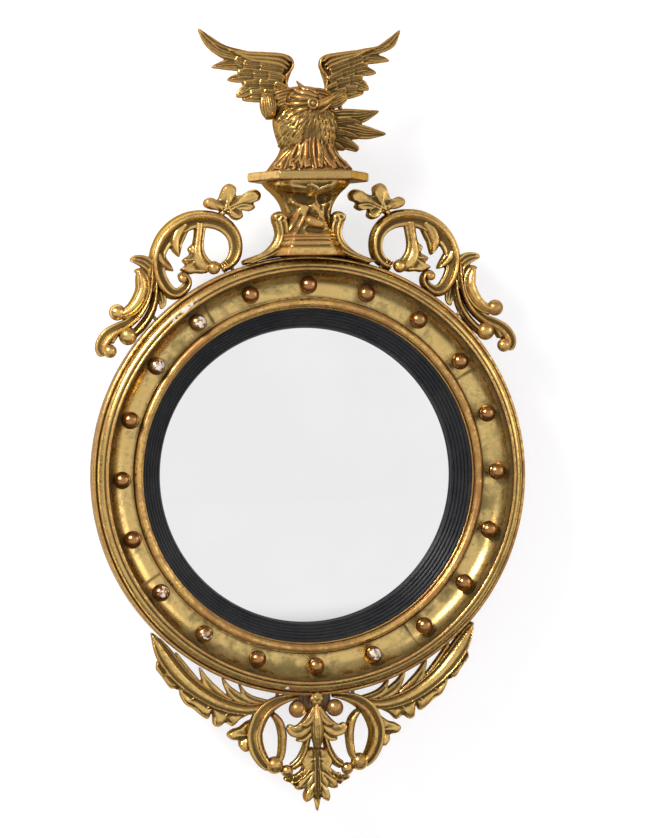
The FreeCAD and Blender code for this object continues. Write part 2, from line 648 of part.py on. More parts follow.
WING = [
    [(-20, 503), (-17, 522), (-29, 535), (-30, 545), (-21, 552), (-17, 562), (-25, 573),
     (-45, 577), (-75, 576), (-100, 580), (-122, 590), (-140, 607)],
    [(-140, 607), (-144, 596), (-134, 580), (-120, 570), (-106, 567)],
    [(-106, 567), (-118, 562), (-129, 555)], [(-129, 555), (-118, 549), (-102, 547)],
    [(-102, 547), (-110, 540)], [(-110, 540), (-100, 532), (-84, 529)],
    [(-84, 529), (-96, 517)], [(-96, 517), (-82, 508), (-66, 506), (-48, 498), (-20, 503)],
]
SHOULDER = (-55, 496, 16.0)
TAIL = [
    [(22, 489), (60, 494), (102, 496)], [(102, 496), (84, 480), (62, 478)],
    [(62, 478), (84, 472), (111, 465)], [(111, 465), (88, 456), (58, 461)],
    [(58, 461), (68, 452), (72, 443)], [(72, 443), (60, 442), (38, 455)],
    [(38, 455), (22, 470), (22, 489)],
]
BODY_RINGS = [
    (-3.0, 36.0, 27.0, 0.0), (-6.0, 42.0, 33.0, 22.0), (-6.0, 46.0, 34.0, 42.0), (-2.0, 34.0, 25.0, 66.0),
]
HEAD_CENTRE = (-4.0, -108.0, 506.0)
HEAD_RADII = (21.0, 17.0, 16.0)
BEAK_START = (14.0, -110.0, 500.0)
BEAK_TIP = (40.0, -112.0, 510.0)
BEAK_RADIUS = 7.5


def cut_by(shape, *cutters):
    for cutter in cutters:
        shape = shape.cut(cutter)
    return shape


def solid_of(shape):
    """The largest solid of a boolean result, so that no sliver is kept."""
    return max(shape.Solids, key=lambda piece: piece.Volume)


# ---- crest, side pieces -----------------------------------------------------------
def crest_sphere(place, front, grow=0.0):
    x, z, radius = place
    return outward(ball(x, front + radius * 0.9, z, radius + grow), SIDE_CREST_ANGLE)


def crest_band(centre, front, back, grow=0.0):
    return outward(band(centre, front, back, grow), SIDE_CREST_ANGLE)


def crest_plate(strokes, front, back):
    return outward(plate(strokes, front, back), SIDE_CREST_ANGLE)


def c_scroll():
    body = crest_band(C_SCROLL, SCROLL_FRONT, SCROLL_BACK)
    spurs = [crest_plate(s, SCROLL_FRONT + 4, SCROLL_BACK - 4) for s in SCROLL_SPURS]
    body = body.fuse(spurs).removeSplitter()
    knob = crest_sphere(SCROLL_KNOB, SCROLL_FRONT, GAP)
    curl = crest_sphere(SCROLL_CURL, SCROLL_FRONT, GAP)
    dowels = Part.makeCompound(dowel_rods(GAP))
    return solid_of(cut_by(body, knob, curl, ring_cutter(), dowels))


def c_scroll_room():
    return crest_band(C_SCROLL, SCROLL_FRONT, SCROLL_BACK, GAP)


def inner_branch():
    stem = crest_band(BRANCH, BRANCH_FRONT, BRANCH_BACK)
    frill = crest_plate(FRILL, BRANCH_FRONT + 3, BRANCH_BACK)
    body = stem.fuse(frill)
    knob = crest_sphere(SCROLL_KNOB, SCROLL_FRONT, GAP)
    curl = crest_sphere(SCROLL_CURL, SCROLL_FRONT, GAP)
    return solid_of(cut_by(body, c_scroll_room(), knob, curl, ring_cutter()))


def oak_leaf():
    leaf = crest_plate(OAK_LEAF, OAK_FRONT, OAK_BACK)
    return solid_of(leaf.cut(c_scroll_room()))


def outer_scroll():
    body = crest_band(OUTER_SCROLL, TENDRIL_FRONT, TENDRIL_BACK)
    end = crest_sphere(OUTER_BALL, TENDRIL_FRONT, GAP)
    return solid_of(cut_by(body, c_scroll_room(), end))


def outer_scroll_room():
    return crest_band(OUTER_SCROLL, TENDRIL_FRONT, TENDRIL_BACK, GAP)


def tendril():
    body = crest_band(TENDRIL, TENDRIL_FRONT + 2, TENDRIL_BACK)
    curl = crest_sphere(TENDRIL_CURL, TENDRIL_FRONT, GAP)
    stem_end = crest_sphere(STEM_BALL, TENDRIL_FRONT, GAP)
    outer_end = crest_sphere(OUTER_BALL, TENDRIL_FRONT, GAP)
    cutters = (c_scroll_room(), outer_scroll_room(), curl, stem_end, outer_end)
    return solid_of(cut_by(body, *cutters))


def tendril_room():
    return crest_band(TENDRIL, TENDRIL_FRONT + 2, TENDRIL_BACK, GAP)


def crest_stem():
    body = crest_band(STEM, TENDRIL_FRONT + 4, TENDRIL_BACK)
    end = crest_sphere(STEM_BALL, TENDRIL_FRONT, GAP)
    cutters = (c_scroll_room(), outer_scroll_room(), tendril_room(), end, ring_cutter())
    dowels = Part.makeCompound(dowel_rods(GAP))
    return solid_of(cut_by(body, *cutters, dowels))


def crest_balls():
    places = [
        (OUTER_BALL, TENDRIL_FRONT), (TENDRIL_CURL, TENDRIL_FRONT), (STEM_BALL, TENDRIL_FRONT),
        (SCROLL_KNOB, SCROLL_FRONT), (SCROLL_CURL, SCROLL_FRONT),
    ]
    cutter = ring_cutter()
    left = [crest_sphere(place, front).cut(cutter) for place, front in places]
    return left


# ---- crest, middle ----------------------------------------------------------------
def crest_rail(grow=0.0):
    """Curved block that carries the plinth on top of the ring."""
    centre_z = PLINTH_BASE_Z + LIFT - RAIL_TOP_RADIUS
    depth = RAIL_BACK - RAIL_FRONT + 2 * grow
    start = V(0, RAIL_FRONT - grow, centre_z)
    disc = Part.makeCylinder(RAIL_TOP_RADIUS + grow, depth, start, Y_AXIS)
    half = RAIL_HALF_WIDTH + grow
    window = Part.makeBox(2 * half, 200, 200, V(-half, -150, RING_RADIUS - 40))
    room = c_scroll_room()
    return solid_of(cut_by(disc.common(window), ring_cutter(), room, mirror_x(room)))


def chamfered(half, front, back, z):
    """Eight-sided plan at one height, cut at the corners like the platform."""
    corner, rear = half * PLINTH_CORNER, PLINTH_BACK_CORNER
    side = front + corner * PLINTH_CORNER_DEPTH
    points = [
        (-half + corner, front), (half - corner, front), (half, side), (half, back - rear),
        (half - rear, back), (-half + rear, back), (-half, back - rear), (-half, side),
    ]
    vectors = [V(x, y, z) for x, y in points]
    return Part.makePolygon(vectors + vectors[:1])


def plinth_base(grow=0.0):
    z = PLINTH_BASE_Z + LIFT
    heights = (z - PLINTH_BASE_FOOT, z + PLINTH_BASE_HEIGHT)
    wires = [chamfered(half + grow, front - grow, RAIL_BACK + grow, height)
             for (half, front), height in zip((PLINTH_BASE_LOW, PLINTH_BASE_HIGH), heights)]
    block = Part.makeLoft(wires, True, True)
    return solid_of(cut_by(block, crest_rail(GAP), ring_cutter()))


def plinth_body(grow=0.0):
    bottom = PLINTH_BASE_Z + PLINTH_BASE_HEIGHT + LIFT
    height = PLATFORM_Z + LIFT - bottom
    wires = [chamfered(half + grow, front - grow, RAIL_BACK + grow, bottom + share * height)
             for share, half, front in PLINTH_LEVELS]
    return Part.makeLoft(wires, True, True)


def plinth_platform():
    w, f, d = PLATFORM_HALF_WIDTH, PLATFORM_FRONT_HALF, PLATFORM_HALF_DEPTH
    y, z = PLATFORM_CENTRE_Y, PLATFORM_Z + LIFT
    plan = [(-f, y - d), (f, y - d), (w, y), (f, y + d), (-f, y + d), (-w, y), (-f, y - d)]
    face = Part.Face(Part.makePolygon([V(px, py, z) for px, py in plan]))
    board = face.extrude(V(0, 0, PLATFORM_THICKNESS))
    return board.cut(eagle_peg(GAP))


def plinth_bracket():
    body = outward(band(BRACKET, BRACKET_FRONT, BRACKET_BACK), 0)
    x, z, radius = BRACKET_CURL
    curl = outward(rod(V(x, BRACKET_FRONT, z), Y_AXIS, BRACKET_BACK - BRACKET_FRONT, radius), 0)
    body = body.fuse(curl)
    cutters = (plinth_body(GAP), plinth_base(GAP), crest_rail(GAP), ring_cutter(), c_scroll_room())
    return solid_of(cut_by(body, *cutters))


def eagle_peg(grow=0.0):
    """Peg that holds the bird and its mound on the platform."""
    start = V(0, EAGLE_Y, PLATFORM_Z + LIFT + 1 - grow)
    return rod(start, V(0, 0, 1), MOUND_HEIGHT + 28 + 2 * grow, PEG_RADIUS + grow)


def rock_mound():
    z, y = PLATFORM_TOP + LIFT, EAGLE_Y
    rings = [(z + height, 0, y, half_x, half_y) for height, half_x, half_y in MOUND_RINGS]
    return ellipse_loft(rings).cut(eagle_peg(GAP))


def eagle_body_raw(grow=0.0):
    start = PLATFORM_TOP + LIFT + MOUND_HEIGHT
    rings = []
    for cx, half_x, half_y, height in BODY_RINGS:
        rings.append((start + height, cx, EAGLE_Y - 4, half_x + grow, half_y + grow))
    return ellipse_loft(rings)


def wing_raw(grow=0.0):
    front = EAGLE_Y - 4 - WING_THICKNESS / 2 - grow
    flat = plate(WING, front, front + WING_THICKNESS + 2 * grow)
    x, z, radius = SHOULDER
    boss = rod(V(x, front - 8, z), Y_AXIS, WING_THICKNESS + 8 + 2 * grow, radius + grow)
    shear = FreeCAD.Matrix()
    shear.A21 = -WING_SWEEP
    swept = flat.transformGeometry(shear)
    swept.translate(V(0, -WING_SWEEP * 20, 0))
    return outward(swept.fuse(boss), 0)


def eagle_wing(side):
    wing = wing_raw() if side < 0 else mirror_x(wing_raw())
    return solid_of(cut_by(wing, eagle_body_raw(GAP), eagle_head_raw(GAP), eagle_tail_raw(GAP)))


def eagle_tail_raw(grow=0.0):
    fan = plate(TAIL, EAGLE_Y + TAIL_SETBACK - grow, EAGLE_Y + TAIL_SETBACK + TAIL_THICKNESS + grow)
    return outward(fan, 0)


def eagle_tail():
    return solid_of(eagle_tail_raw().cut(eagle_body_raw(GAP)))


def eagle_head_raw(grow=0.0):
    cx, cy, cz = HEAD_CENTRE
    rx, ry, rz = HEAD_RADII
    matrix = FreeCAD.Matrix()
    matrix.scale(V(rx + grow, ry + grow, rz + grow))
    skull = Part.makeSphere(1.0).transformGeometry(matrix)
    skull.translate(V(cx, cy, cz))
    start, tip = V(*BEAK_START), V(*BEAK_TIP)
    beak = Part.makeCone(BEAK_RADIUS + grow, 1.0 + grow, (tip - start).Length + grow, start, tip - start)
    return outward(skull.fuse(beak), 0)


def eagle_head():
    return solid_of(eagle_head_raw().cut(eagle_body_raw(GAP)))


def eagle_body():
    return eagle_body_raw().cut(eagle_peg(GAP))


# ---- apron ------------------------------------------------------------------------
def apron_band(centre, front, back, angle, grow=0.0):
    return outward(band(centre, front, back, grow), angle)


def middle_ball(place, front, grow=0.0):
    x, z, radius = place
    return outward(ball(x, front + radius * 0.9, z, radius + grow), 180)


def loop_room():
    return apron_band(LOOP, LOOP_FRONT, LOOP_BACK, 180, GAP)


def apron_loop():
    body = apron_band(LOOP, LOOP_FRONT, LOOP_BACK, 180)
    inner = apron_band(LOOP_INNER, LOOP_FRONT + 4, LOOP_BACK - 2, 180)
    body = body.fuse(inner)
    cutters = (middle_ball(UPPER_BALL, LOOP_FRONT, GAP), middle_ball(LOWER_BALL, LOOP_FRONT, GAP))
    dowels = Part.makeCompound(dowel_rods(GAP))
    return solid_of(cut_by(body, *cutters, ring_cutter(), dowels))


def apron_balls():
    places = (UPPER_BALL, LOWER_BALL, LYRE_BALL)
    cutters = (ring_cutter(), spine_solid(GAP), apron_block(GAP))
    lower = middle_ball(LOWER_BALL, LOOP_FRONT, GAP)
    balls = [cut_by(middle_ball(place, LOOP_FRONT), *cutters) for place in places]
    balls[2] = balls[2].cut(lower)
    return [solid_of(piece) for piece in balls]


def apron_lyre():
    body = apron_band(LYRE, LOOP_FRONT + 6, LOOP_BACK - 2, 180)
    cutters = (spine_solid(GAP), middle_ball(LYRE_BALL, LOOP_FRONT, GAP), loop_room(), pendant_solid(GAP))
    return solid_of(cut_by(body, *cutters))


def apron_link():
    body = apron_band(LINK, PENDANT_FRONT + 2, PENDANT_BACK, 180)
    lyre = apron_band(LYRE, LOOP_FRONT + 6, LOOP_BACK - 2, 180, GAP)
    cutters = (middle_ball(LYRE_BALL, LOOP_FRONT, GAP), pendant_solid(GAP), lyre)
    return solid_of(cut_by(body, *cutters))


def apron_petal():
    body = apron_band(PETAL, LOOP_FRONT, LOOP_BACK - 6, 180)
    curl = middle_ball(PETAL_CURL, LOOP_FRONT)
    cutters = (
        spine_solid(GAP), middle_ball(UPPER_BALL, LOOP_FRONT, GAP),
        apron_band(LYRE, LOOP_FRONT + 6, LOOP_BACK - 2, 180, GAP),
        apron_band(LOOP_INNER, LOOP_FRONT + 4, LOOP_BACK - 2, 180, GAP), husk_solid(GAP),
    )
    return solid_of(cut_by(body.fuse(curl), *cutters))


def apron_leaf():
    leaf = outward(plate(LOOP_LEAF, LEAF_FRONT, LEAF_BACK), 180)
    return solid_of(leaf.cut(loop_room()))


def acanthus_room():
    return apron_band(ACANTHUS, ACANTHUS_FRONT, ACANTHUS_BACK, 180, GAP)


def acanthus():
    """Long leaf: a thick blade with a thinner lobed edge below it."""
    blade = apron_band(ACANTHUS, ACANTHUS_FRONT, ACANTHUS_BACK, 180)
    lobes = outward(plate(ACANTHUS_LOBES, LEAF_FRONT, LEAF_BACK), 180)
    return solid_of(cut_by(blade.fuse(lobes), loop_room(), ring_cutter()))


def acanthus_inner():
    parts = [outward(plate(strokes, LEAF_FRONT, LEAF_BACK), 180) for strokes in INNER_LEAVES]
    rail = apron_band(LEAF_RAIL, LEAF_FRONT + 4, LEAF_BACK, 180)
    body = rail.fuse(parts)
    return solid_of(cut_by(body, acanthus_room(), loop_room(), ring_cutter()))


def spine_solid(grow=0.0):
    half = SPINE_HALF_WIDTH + grow
    low, top = SPINE_LOW - LIFT - grow, SPINE_TOP - LIFT + grow
    start = V(-half, SPINE_FRONT - grow, low)
    return Part.makeBox(2 * half, SPINE_BACK - SPINE_FRONT + 2 * grow, top - low, start)


def husk_solid(grow=0.0):
    """Bud of the husk: turned about a vertical line in front of the spine."""
    widest = max(radius for _, radius in HUSK)
    edges = [V(0, 0, HUSK[0][0] + grow)]
    edges += [V(radius + grow, 0, z) for z, radius in HUSK]
    edges.append(V(0, 0, HUSK[-1][0] - grow))
    wire = Part.makePolygon(edges + edges[:1])
    bud = Part.Face(wire).revolve(V(), V(0, 0, 1), 360)
    bud.translate(V(0, SPINE_FRONT - widest - GAP, 0))
    return outward(bud, 180)


def rosette():
    centre = V(0, SPINE_FRONT - GAP, ROSETTE_Z - LIFT)
    dome = Part.makeSphere(ROSETTE_RADIUS, centre)
    keep = Part.makeBox(60, 40, 60, centre - V(30, 40, 30))
    return solid_of(cut_by(dome.common(keep), ring_cutter()))


def pendant_solid(grow=0.0):
    left = outward(plate(PENDANT + [[(0, -458), (0, -376)]], PENDANT_FRONT - grow, PENDANT_BACK + grow), 180)
    whole = left.fuse(mirror_x(left)).removeSplitter()
    if grow:
        whole = whole.fuse([mirror_shift(whole, grow), mirror_shift(whole, -grow)])
    return whole


def mirror_shift(shape, distance):
    moved = shape.copy()
    moved.translate(V(distance, 0, 0))
    return moved


# ---- dowels -----------------------------------------------------------------------
DOWEL_ANGLES = (-35.5, -20.0, -44.0, -170.0)
DOWEL_RADIUS = 2.5
DOWEL_IN_RING = 12.0
DOWEL_OUT = 7.0
DOWEL_Y = -60.0


def dowel_rods(grow=0.0):
    """Pins between the ring's outer wall and the carving, on both sides."""
    rods = []
    for angle in DOWEL_ANGLES:
        for side in (1, -1):
            start = polar(RING_RADIUS - DOWEL_IN_RING - grow, side * angle, DOWEL_Y)
            direction = polar(1, side * angle)
            rods.append(rod(start, direction, DOWEL_IN_RING + DOWEL_OUT + 2 * grow, DOWEL_RADIUS + grow))
    return rods


# ---- writing ----------------------------------------------------------------------
def save(name, shape):
    shape.exportStep("parts/" + name + ".step")
    print(name, len(shape.Solids), round(shape.Volume))


def both(shape):
    """A piece and its mirror image, as two separate solids."""
    return Part.makeCompound([shape, mirror_x(shape)])


def save_pair(name, shape):
    save(name + "_left", shape)
    save(name + "_right", mirror_x(shape))


def save_ring():
    save("back_ring", back_ring())
    save("outer_moulding", outer_moulding())
    for k, segment in enumerate(cavetto_segments(), 1):
        save("cavetto_segment_%d" % k, segment)
    save("inner_moulding", inner_moulding())
    save("ebonised_slip", ebonised_slip())
    save("mirror_plate", mirror_plate())
    save("glazing_blocks", glazing_blocks())
    save("backboard", backboard())
    save("spherules", spherules())
    save("spherule_pins", Part.makeCompound(ball_pins()))
    save("wall_pads", wall_pads())


def save_hardware():
    left, right = hanger_centres()
    save("hanger_plates", Part.makeCompound([hanger_plate(left), hanger_plate(right)]))
    save("hanger_ring_left", hanger_ring(left))
    save("hanger_ring_right", hanger_ring(right))
    save("screws", screws(board_screw_seats() + hanger_screw_seats() + strap_screw_seats()))
    save("crest_batten", crest_batten())
    save("crest_strap", crest_strap())
    save("apron_block", apron_block())
    save("apron_strap", apron_strap())
    save("dowels", Part.makeCompound(dowel_rods() + [eagle_peg()]))


def save_crest():
    save("crest_rail", crest_rail())
    save("plinth_base", plinth_base())
    save("plinth_body", plinth_body())
    save("plinth_platform", plinth_platform())
    save("plinth_brackets", both(plinth_bracket()))
    save("rock_mound", rock_mound())
    save("eagle_body", eagle_body())
    save("eagle_head", eagle_head())
    save("eagle_wing_left", eagle_wing(-1))
    save("eagle_wing_right", eagle_wing(1))
    save("eagle_tail", eagle_tail())
    save_pair("crest_scroll", c_scroll())
    save("crest_branches", both(inner_branch()))
    save_pair("oak_leaf", oak_leaf())
    save_pair("outer_scroll", outer_scroll())
    save_pair("tendril", tendril())
    save("crest_stems", both(crest_stem()))
    balls = crest_balls()
    save("crest_balls", Part.makeCompound(balls + [mirror_x(piece) for piece in balls]))


def save_apron():
    save_pair("apron_loop", apron_loop())
    save("apron_lyres", both(apron_lyre()))
    save("apron_petals", both(apron_petal()))
    save("apron_leaves", both(apron_leaf()))
    save_pair("acanthus", acanthus())
    save("acanthus_inner_leaves", both(acanthus_inner()))
    save("apron_links", both(apron_link()))
    balls = apron_balls()
    save("apron_balls", Part.makeCompound(balls + [mirror_x(piece) for piece in balls]))
    save("apron_spine", spine_solid())
    save("apron_husk", husk_solid())
    save("apron_rosette", rosette())
    save("apron_pendant", pendant_solid())


os.makedirs("parts", exist_ok=True)
save_ring()
save_hardware()
save_crest()
save_apron()
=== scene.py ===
"""Carved and gilded look of the round convex wall mirror.

Sizes are in millimetres in the frame of the CAD part: +Z up, the wall is Y = 0, the
front faces -Y and the origin is the centre of the ring.  Meshes are written in metres.
Carving is drawn for the left half (X < 0) and mirrored.
"""
import math

import bmesh
import bpy
import numpy as np
from mathutils import Matrix, Vector


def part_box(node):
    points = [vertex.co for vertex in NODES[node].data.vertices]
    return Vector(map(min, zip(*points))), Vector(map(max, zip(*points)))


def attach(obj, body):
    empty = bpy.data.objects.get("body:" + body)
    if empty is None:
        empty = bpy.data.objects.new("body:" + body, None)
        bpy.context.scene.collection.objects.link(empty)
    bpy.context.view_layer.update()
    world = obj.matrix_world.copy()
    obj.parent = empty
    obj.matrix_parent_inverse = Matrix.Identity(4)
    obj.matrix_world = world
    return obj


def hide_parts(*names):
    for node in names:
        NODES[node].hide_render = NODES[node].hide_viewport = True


bl_info = {
    "name": "Carved Convex Mirror",
    "version": (1, 0, 0),
    "blender": (4, 5, 0),
    "location": "View3D > Sidebar > Mirror",
    "description": "Builds the carved, gilded pieces of a round convex wall mirror",
    "category": "Add Mesh",
}

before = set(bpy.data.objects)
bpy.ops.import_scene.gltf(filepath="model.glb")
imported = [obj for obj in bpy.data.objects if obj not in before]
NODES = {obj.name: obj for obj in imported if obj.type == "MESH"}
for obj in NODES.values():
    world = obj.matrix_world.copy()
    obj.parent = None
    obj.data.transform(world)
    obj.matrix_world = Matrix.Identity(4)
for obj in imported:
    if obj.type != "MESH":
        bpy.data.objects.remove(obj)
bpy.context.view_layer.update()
MM = 0.001


def mm_box(node):
    low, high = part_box(node)
    return [v / MM for v in low], [v / MM for v in high]


# ---- places read from the frame ---------------------------------------------------
RING_RADIUS = mm_box("outer_moulding")[1][0]
FRONT_Y = mm_box("outer_moulding")[0][1]
SEAT_Y = mm_box("outer_moulding")[1][1]
PLATFORM_LOW, PLATFORM_HIGH = mm_box("plinth_platform")
RAIL_FRONT = mm_box("crest_rail")[0][1]
RAIL_BACK = mm_box("crest_rail")[1][1]
GLASS_RADIUS = mm_box("mirror_plate")[1][0]
GLASS_APEX_Y = mm_box("mirror_plate")[0][1]

# ---- ring profile sizes, as in the part -------------------------------------------
OUTER_WIDTH = 20.7
COVE_WIDTH = 34.5
INNER_WIDTH = 15.0
SLIP_WIDTH = 24.6
PIECE_GAP = 0.3
GLASS_THICKNESS = 4.0
GLASS_RISE = 24.0
COVE_RADIUS = 30.0
COVE_CENTRE_DEPTH = 4.7
BALL_RADIUS = 12.2
BALL_COUNT = 20
BALL_INSET = 40.0
REED_COUNT = 6
OUTER_IN = RING_RADIUS - OUTER_WIDTH
COVE_OUT = OUTER_IN - PIECE_GAP
COVE_IN = COVE_OUT - COVE_WIDTH
INNER_OUT = COVE_IN - PIECE_GAP
INNER_IN = INNER_OUT - INNER_WIDTH
SLIP_OUT = INNER_IN - PIECE_GAP
SIGHT_RADIUS = SLIP_OUT - SLIP_WIDTH
BALL_RING = RING_RADIUS - BALL_INSET
COVE_JOINTS = (58.5, 148.5, 238.5, 328.5)
CHIPPED_BALLS = {18: 1.0, 17: 0.95, 13: 0.8, 12: 0.85, 9: 1.0, 8: 0.25, 1: 0.2}

# ---- carving depths, as in the part -----------------------------------------------
SCROLL_FRONT, SCROLL_BACK = -72.0, -46.0
BRANCH_FRONT, BRANCH_BACK = -66.0, -49.0
OAK_FRONT, OAK_BACK = -64.0, -46.0
TENDRIL_FRONT, TENDRIL_BACK = -78.0, -52.0
BRACKET_FRONT, BRACKET_BACK = -92.0, -66.0
LOOP_FRONT, LOOP_BACK = -76.0, -50.0
ACANTHUS_FRONT, ACANTHUS_BACK = -66.0, -44.0
LEAF_FRONT, LEAF_BACK = -60.0, -42.0
SPINE_FRONT, SPINE_BACK = -76.0, -56.0
PENDANT_FRONT, PENDANT_BACK = -70.0, -48.0
EAGLE_Y = -83.5

# ---- cross-sections of the carving: across from the right-hand to the left-hand side
# of the stroke, and forward from its back to its front ------------------------------
ROUND = [(-1.0, 0.35), (-0.9, 0.62), (-0.7, 0.84), (-0.4, 0.96), (0.0, 1.0), (0.4, 0.96), (0.7, 0.84),
         (0.9, 0.62), (1.0, 0.35)]
SCROLL = [(-1.0, 0.35), (-0.95, 0.6), (-0.87, 0.7), (-0.7, 0.68), (-0.5, 0.65), (-0.28, 0.68), (-0.1, 0.78),
          (0.06, 0.92), (0.24, 1.0), (0.45, 0.98), (0.66, 0.88), (0.84, 0.68), (0.95, 0.46), (1.0, 0.24)]
LOOP_BAND = [(-1.0, 0.3), (-0.9, 0.52), (-0.72, 0.66), (-0.55, 0.62), (-0.45, 0.74), (-0.25, 0.95),
             (0.0, 1.0), (0.25, 0.95), (0.45, 0.74), (0.55, 0.62), (0.72, 0.66), (0.9, 0.52), (1.0, 0.3)]
DISHED = [(-1.0, 0.45), (-0.93, 0.74), (-0.8, 0.84), (-0.6, 0.82), (-0.4, 0.74), (-0.16, 0.7), (-0.05, 0.8),
          (0.05, 0.8), (0.16, 0.7), (0.4, 0.74), (0.6, 0.82), (0.8, 0.84), (0.93, 0.74), (1.0, 0.45)]
RIBBED = [(-1.0, 0.4), (-0.85, 0.62), (-0.68, 0.5), (-0.5, 0.78), (-0.3, 0.6), (0.0, 1.0), (0.3, 0.6),
          (0.5, 0.78), (0.68, 0.5), (0.85, 0.62), (1.0, 0.4)]
FEATHER = [(-1.0, 0.3), (-0.94, 0.55), (-0.75, 0.66), (-0.55, 0.6), (-0.38, 0.76), (-0.14, 0.8),
           (-0.05, 0.98), (0.06, 0.98), (0.16, 0.78), (0.4, 0.84), (0.56, 0.76), (0.8, 0.86), (0.94, 0.72),
           (1.0, 0.3)]
LEAFY = [(-1.0, 0.5), (-0.95, 0.74), (-0.84, 0.85), (-0.55, 0.86), (-0.2, 0.82), (0.0, 0.79), (0.2, 0.82),
         (0.55, 0.86), (0.84, 0.85), (0.95, 0.74), (1.0, 0.5)]
OUTER_BAND = [(-1.0, 0.3), (-0.92, 0.58), (-0.75, 0.84), (-0.45, 0.97), (-0.1, 1.0), (0.25, 0.92),
              (0.45, 0.8), (0.56, 0.7), (0.66, 0.76), (0.8, 0.74), (0.94, 0.5), (1.0, 0.28)]
SPRAY = [(-1.0, 0.4), (-0.95, 0.72), (-0.85, 0.86), (-0.74, 0.82), (-0.64, 0.64), (-0.52, 0.72), (-0.2, 0.86),
         (0.2, 0.92), (0.5, 0.86), (0.64, 0.84), (0.8, 0.98), (0.92, 0.82), (1.0, 0.4)]
SPOON = [(-1.0, 0.4), (-0.93, 0.7), (-0.8, 0.9), (-0.62, 1.0), (-0.45, 0.96), (-0.28, 0.8), (0.0, 0.72),
         (0.3, 0.74), (0.6, 0.8), (0.82, 0.78), (0.94, 0.64), (1.0, 0.35)]


# ---- settings ---------------------------------------------------------------------
class GildingSettings(bpy.types.PropertyGroup):
    """Colours and wear of the gilding."""
    gold: bpy.props.FloatVectorProperty(
        name="Gold", description="Bright leaf on raised carving", subtype="COLOR", size=3,
        default=(0.76, 0.5, 0.165), min=0.0, max=1.0)
    dull_gold: bpy.props.FloatVectorProperty(
        name="Dull gold", description="Leaf dulled by handling and varnish", subtype="COLOR", size=3,
        default=(0.46, 0.3, 0.095), min=0.0, max=1.0)
    patina: bpy.props.FloatVectorProperty(
        name="Patina", description="Olive tone of old varnish", subtype="COLOR", size=3,
        default=(0.24, 0.18, 0.065), min=0.0, max=1.0)
    # umber stands for dirt and also for painted shade in hollows and on the flanks
    umber: bpy.props.FloatVectorProperty(
        name="Umber", description="Dirt and tone left in the hollows", subtype="COLOR", size=3,
        default=(0.07, 0.038, 0.013), min=0.0, max=1.0)
    bole: bpy.props.FloatVectorProperty(
        name="Bole", description="Red-brown clay that shows where the leaf is rubbed",
        subtype="COLOR", size=3,
        default=(0.33, 0.13, 0.045), min=0.0, max=1.0)
    copper: bpy.props.FloatVectorProperty(
        name="Copper tone", description="Rubbed leaf on the balls", subtype="COLOR", size=3,
        default=(0.42, 0.2, 0.075), min=0.0, max=1.0)
    wear: bpy.props.FloatProperty(
        name="Wear", description="How much leaf is rubbed from the ridges", default=0.5, min=0.0, max=1.0,
        subtype="FACTOR")


class CarvingSettings(bpy.types.PropertyGroup):
    """Fineness of the carved and turned meshes."""
    grain: bpy.props.FloatProperty(
        name="Carving grain", description="Finest cut that the carved meshes hold", default=0.00105,
        min=0.0005, max=0.004, unit="LENGTH")
    fine_grain: bpy.props.FloatProperty(
        name="Feather grain", description="Finest cut on the eagle", default=0.0008, min=0.0004,
        max=0.003, unit="LENGTH")
    ring_steps: bpy.props.IntProperty(
        name="Ring steps", description="Facets round a full moulding", default=480, min=64, max=1440)
    hackles: bpy.props.IntProperty(
        name="Hackles", description="Small feathers on the eagle's breast", default=320, min=0, max=400)


class StageSettings(bpy.types.PropertyGroup):
    """Backdrop, lamps and camera."""
    backdrop: bpy.props.FloatVectorProperty(
        name="Backdrop", description="Colour of the backdrop and floor", subtype="COLOR", size=3,
        default=(0.93, 0.93, 0.935), min=0.0, max=1.0)
    backdrop_gap: bpy.props.FloatProperty(
        name="Backdrop gap", description="Backdrop behind the wall plane", default=0.035, unit="LENGTH")
    key_power: bpy.props.FloatProperty(
        name="Key power", description="Power of the soft lamp at the upper left", default=62.0,
        subtype="POWER")
    fill_power: bpy.props.FloatProperty(
        name="Fill power", description="Power of the soft lamp on the right", default=13.0, subtype="POWER")
    world_level: bpy.props.FloatProperty(
        name="Room level", description="Brightness of the pale room", default=0.86, min=0.0, max=2.0)
    camera_distance: bpy.props.FloatProperty(
        name="Camera distance", description="Camera to the aim point", default=3.5, unit="LENGTH")
    camera_azimuth: bpy.props.FloatProperty(
        name="Camera azimuth", description="Camera round the object, negative to the viewer's left",
        default=math.radians(-10.82), subtype="ANGLE")
    camera_elevation: bpy.props.FloatProperty(
        name="Camera elevation", description="Camera above the aim point", default=math.radians(0.45),
        subtype="ANGLE")
    camera_roll: bpy.props.FloatProperty(
        name="Camera roll", description="Tilt of the picture", default=math.radians(-1.1), subtype="ANGLE")
    lens: bpy.props.FloatProperty(
        name="Lens", description="Focal length in millimetres", default=110.8, min=20.0, max=300.0)


# ---- meshes -----------------------------------------------------------------------
def mesh_from(name, verts, faces):
    mesh = bpy.data.meshes.new(name)
    mesh.from_pydata((np.asarray(verts) * MM).tolist(), [], faces)
    mesh.update()
    return mesh


def coordinates(mesh):
    flat = np.empty(len(mesh.vertices) * 3, np.float64)
    mesh.vertices.foreach_get("co", flat)
    return flat.reshape(-1, 3)


def link_piece(name, mesh, material, nodes, body="frame"):
    """Put a finished mesh in the scene: it rides on its body and stands for its nodes."""
    piece = bpy.data.objects.new(name, mesh)
    bpy.context.scene.collection.objects.link(piece)
    mesh.materials.clear()
    mesh.materials.append(material)
    mark_flank_shade(mesh)
    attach(piece, body)
    if nodes:
        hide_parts(*nodes)
    return piece


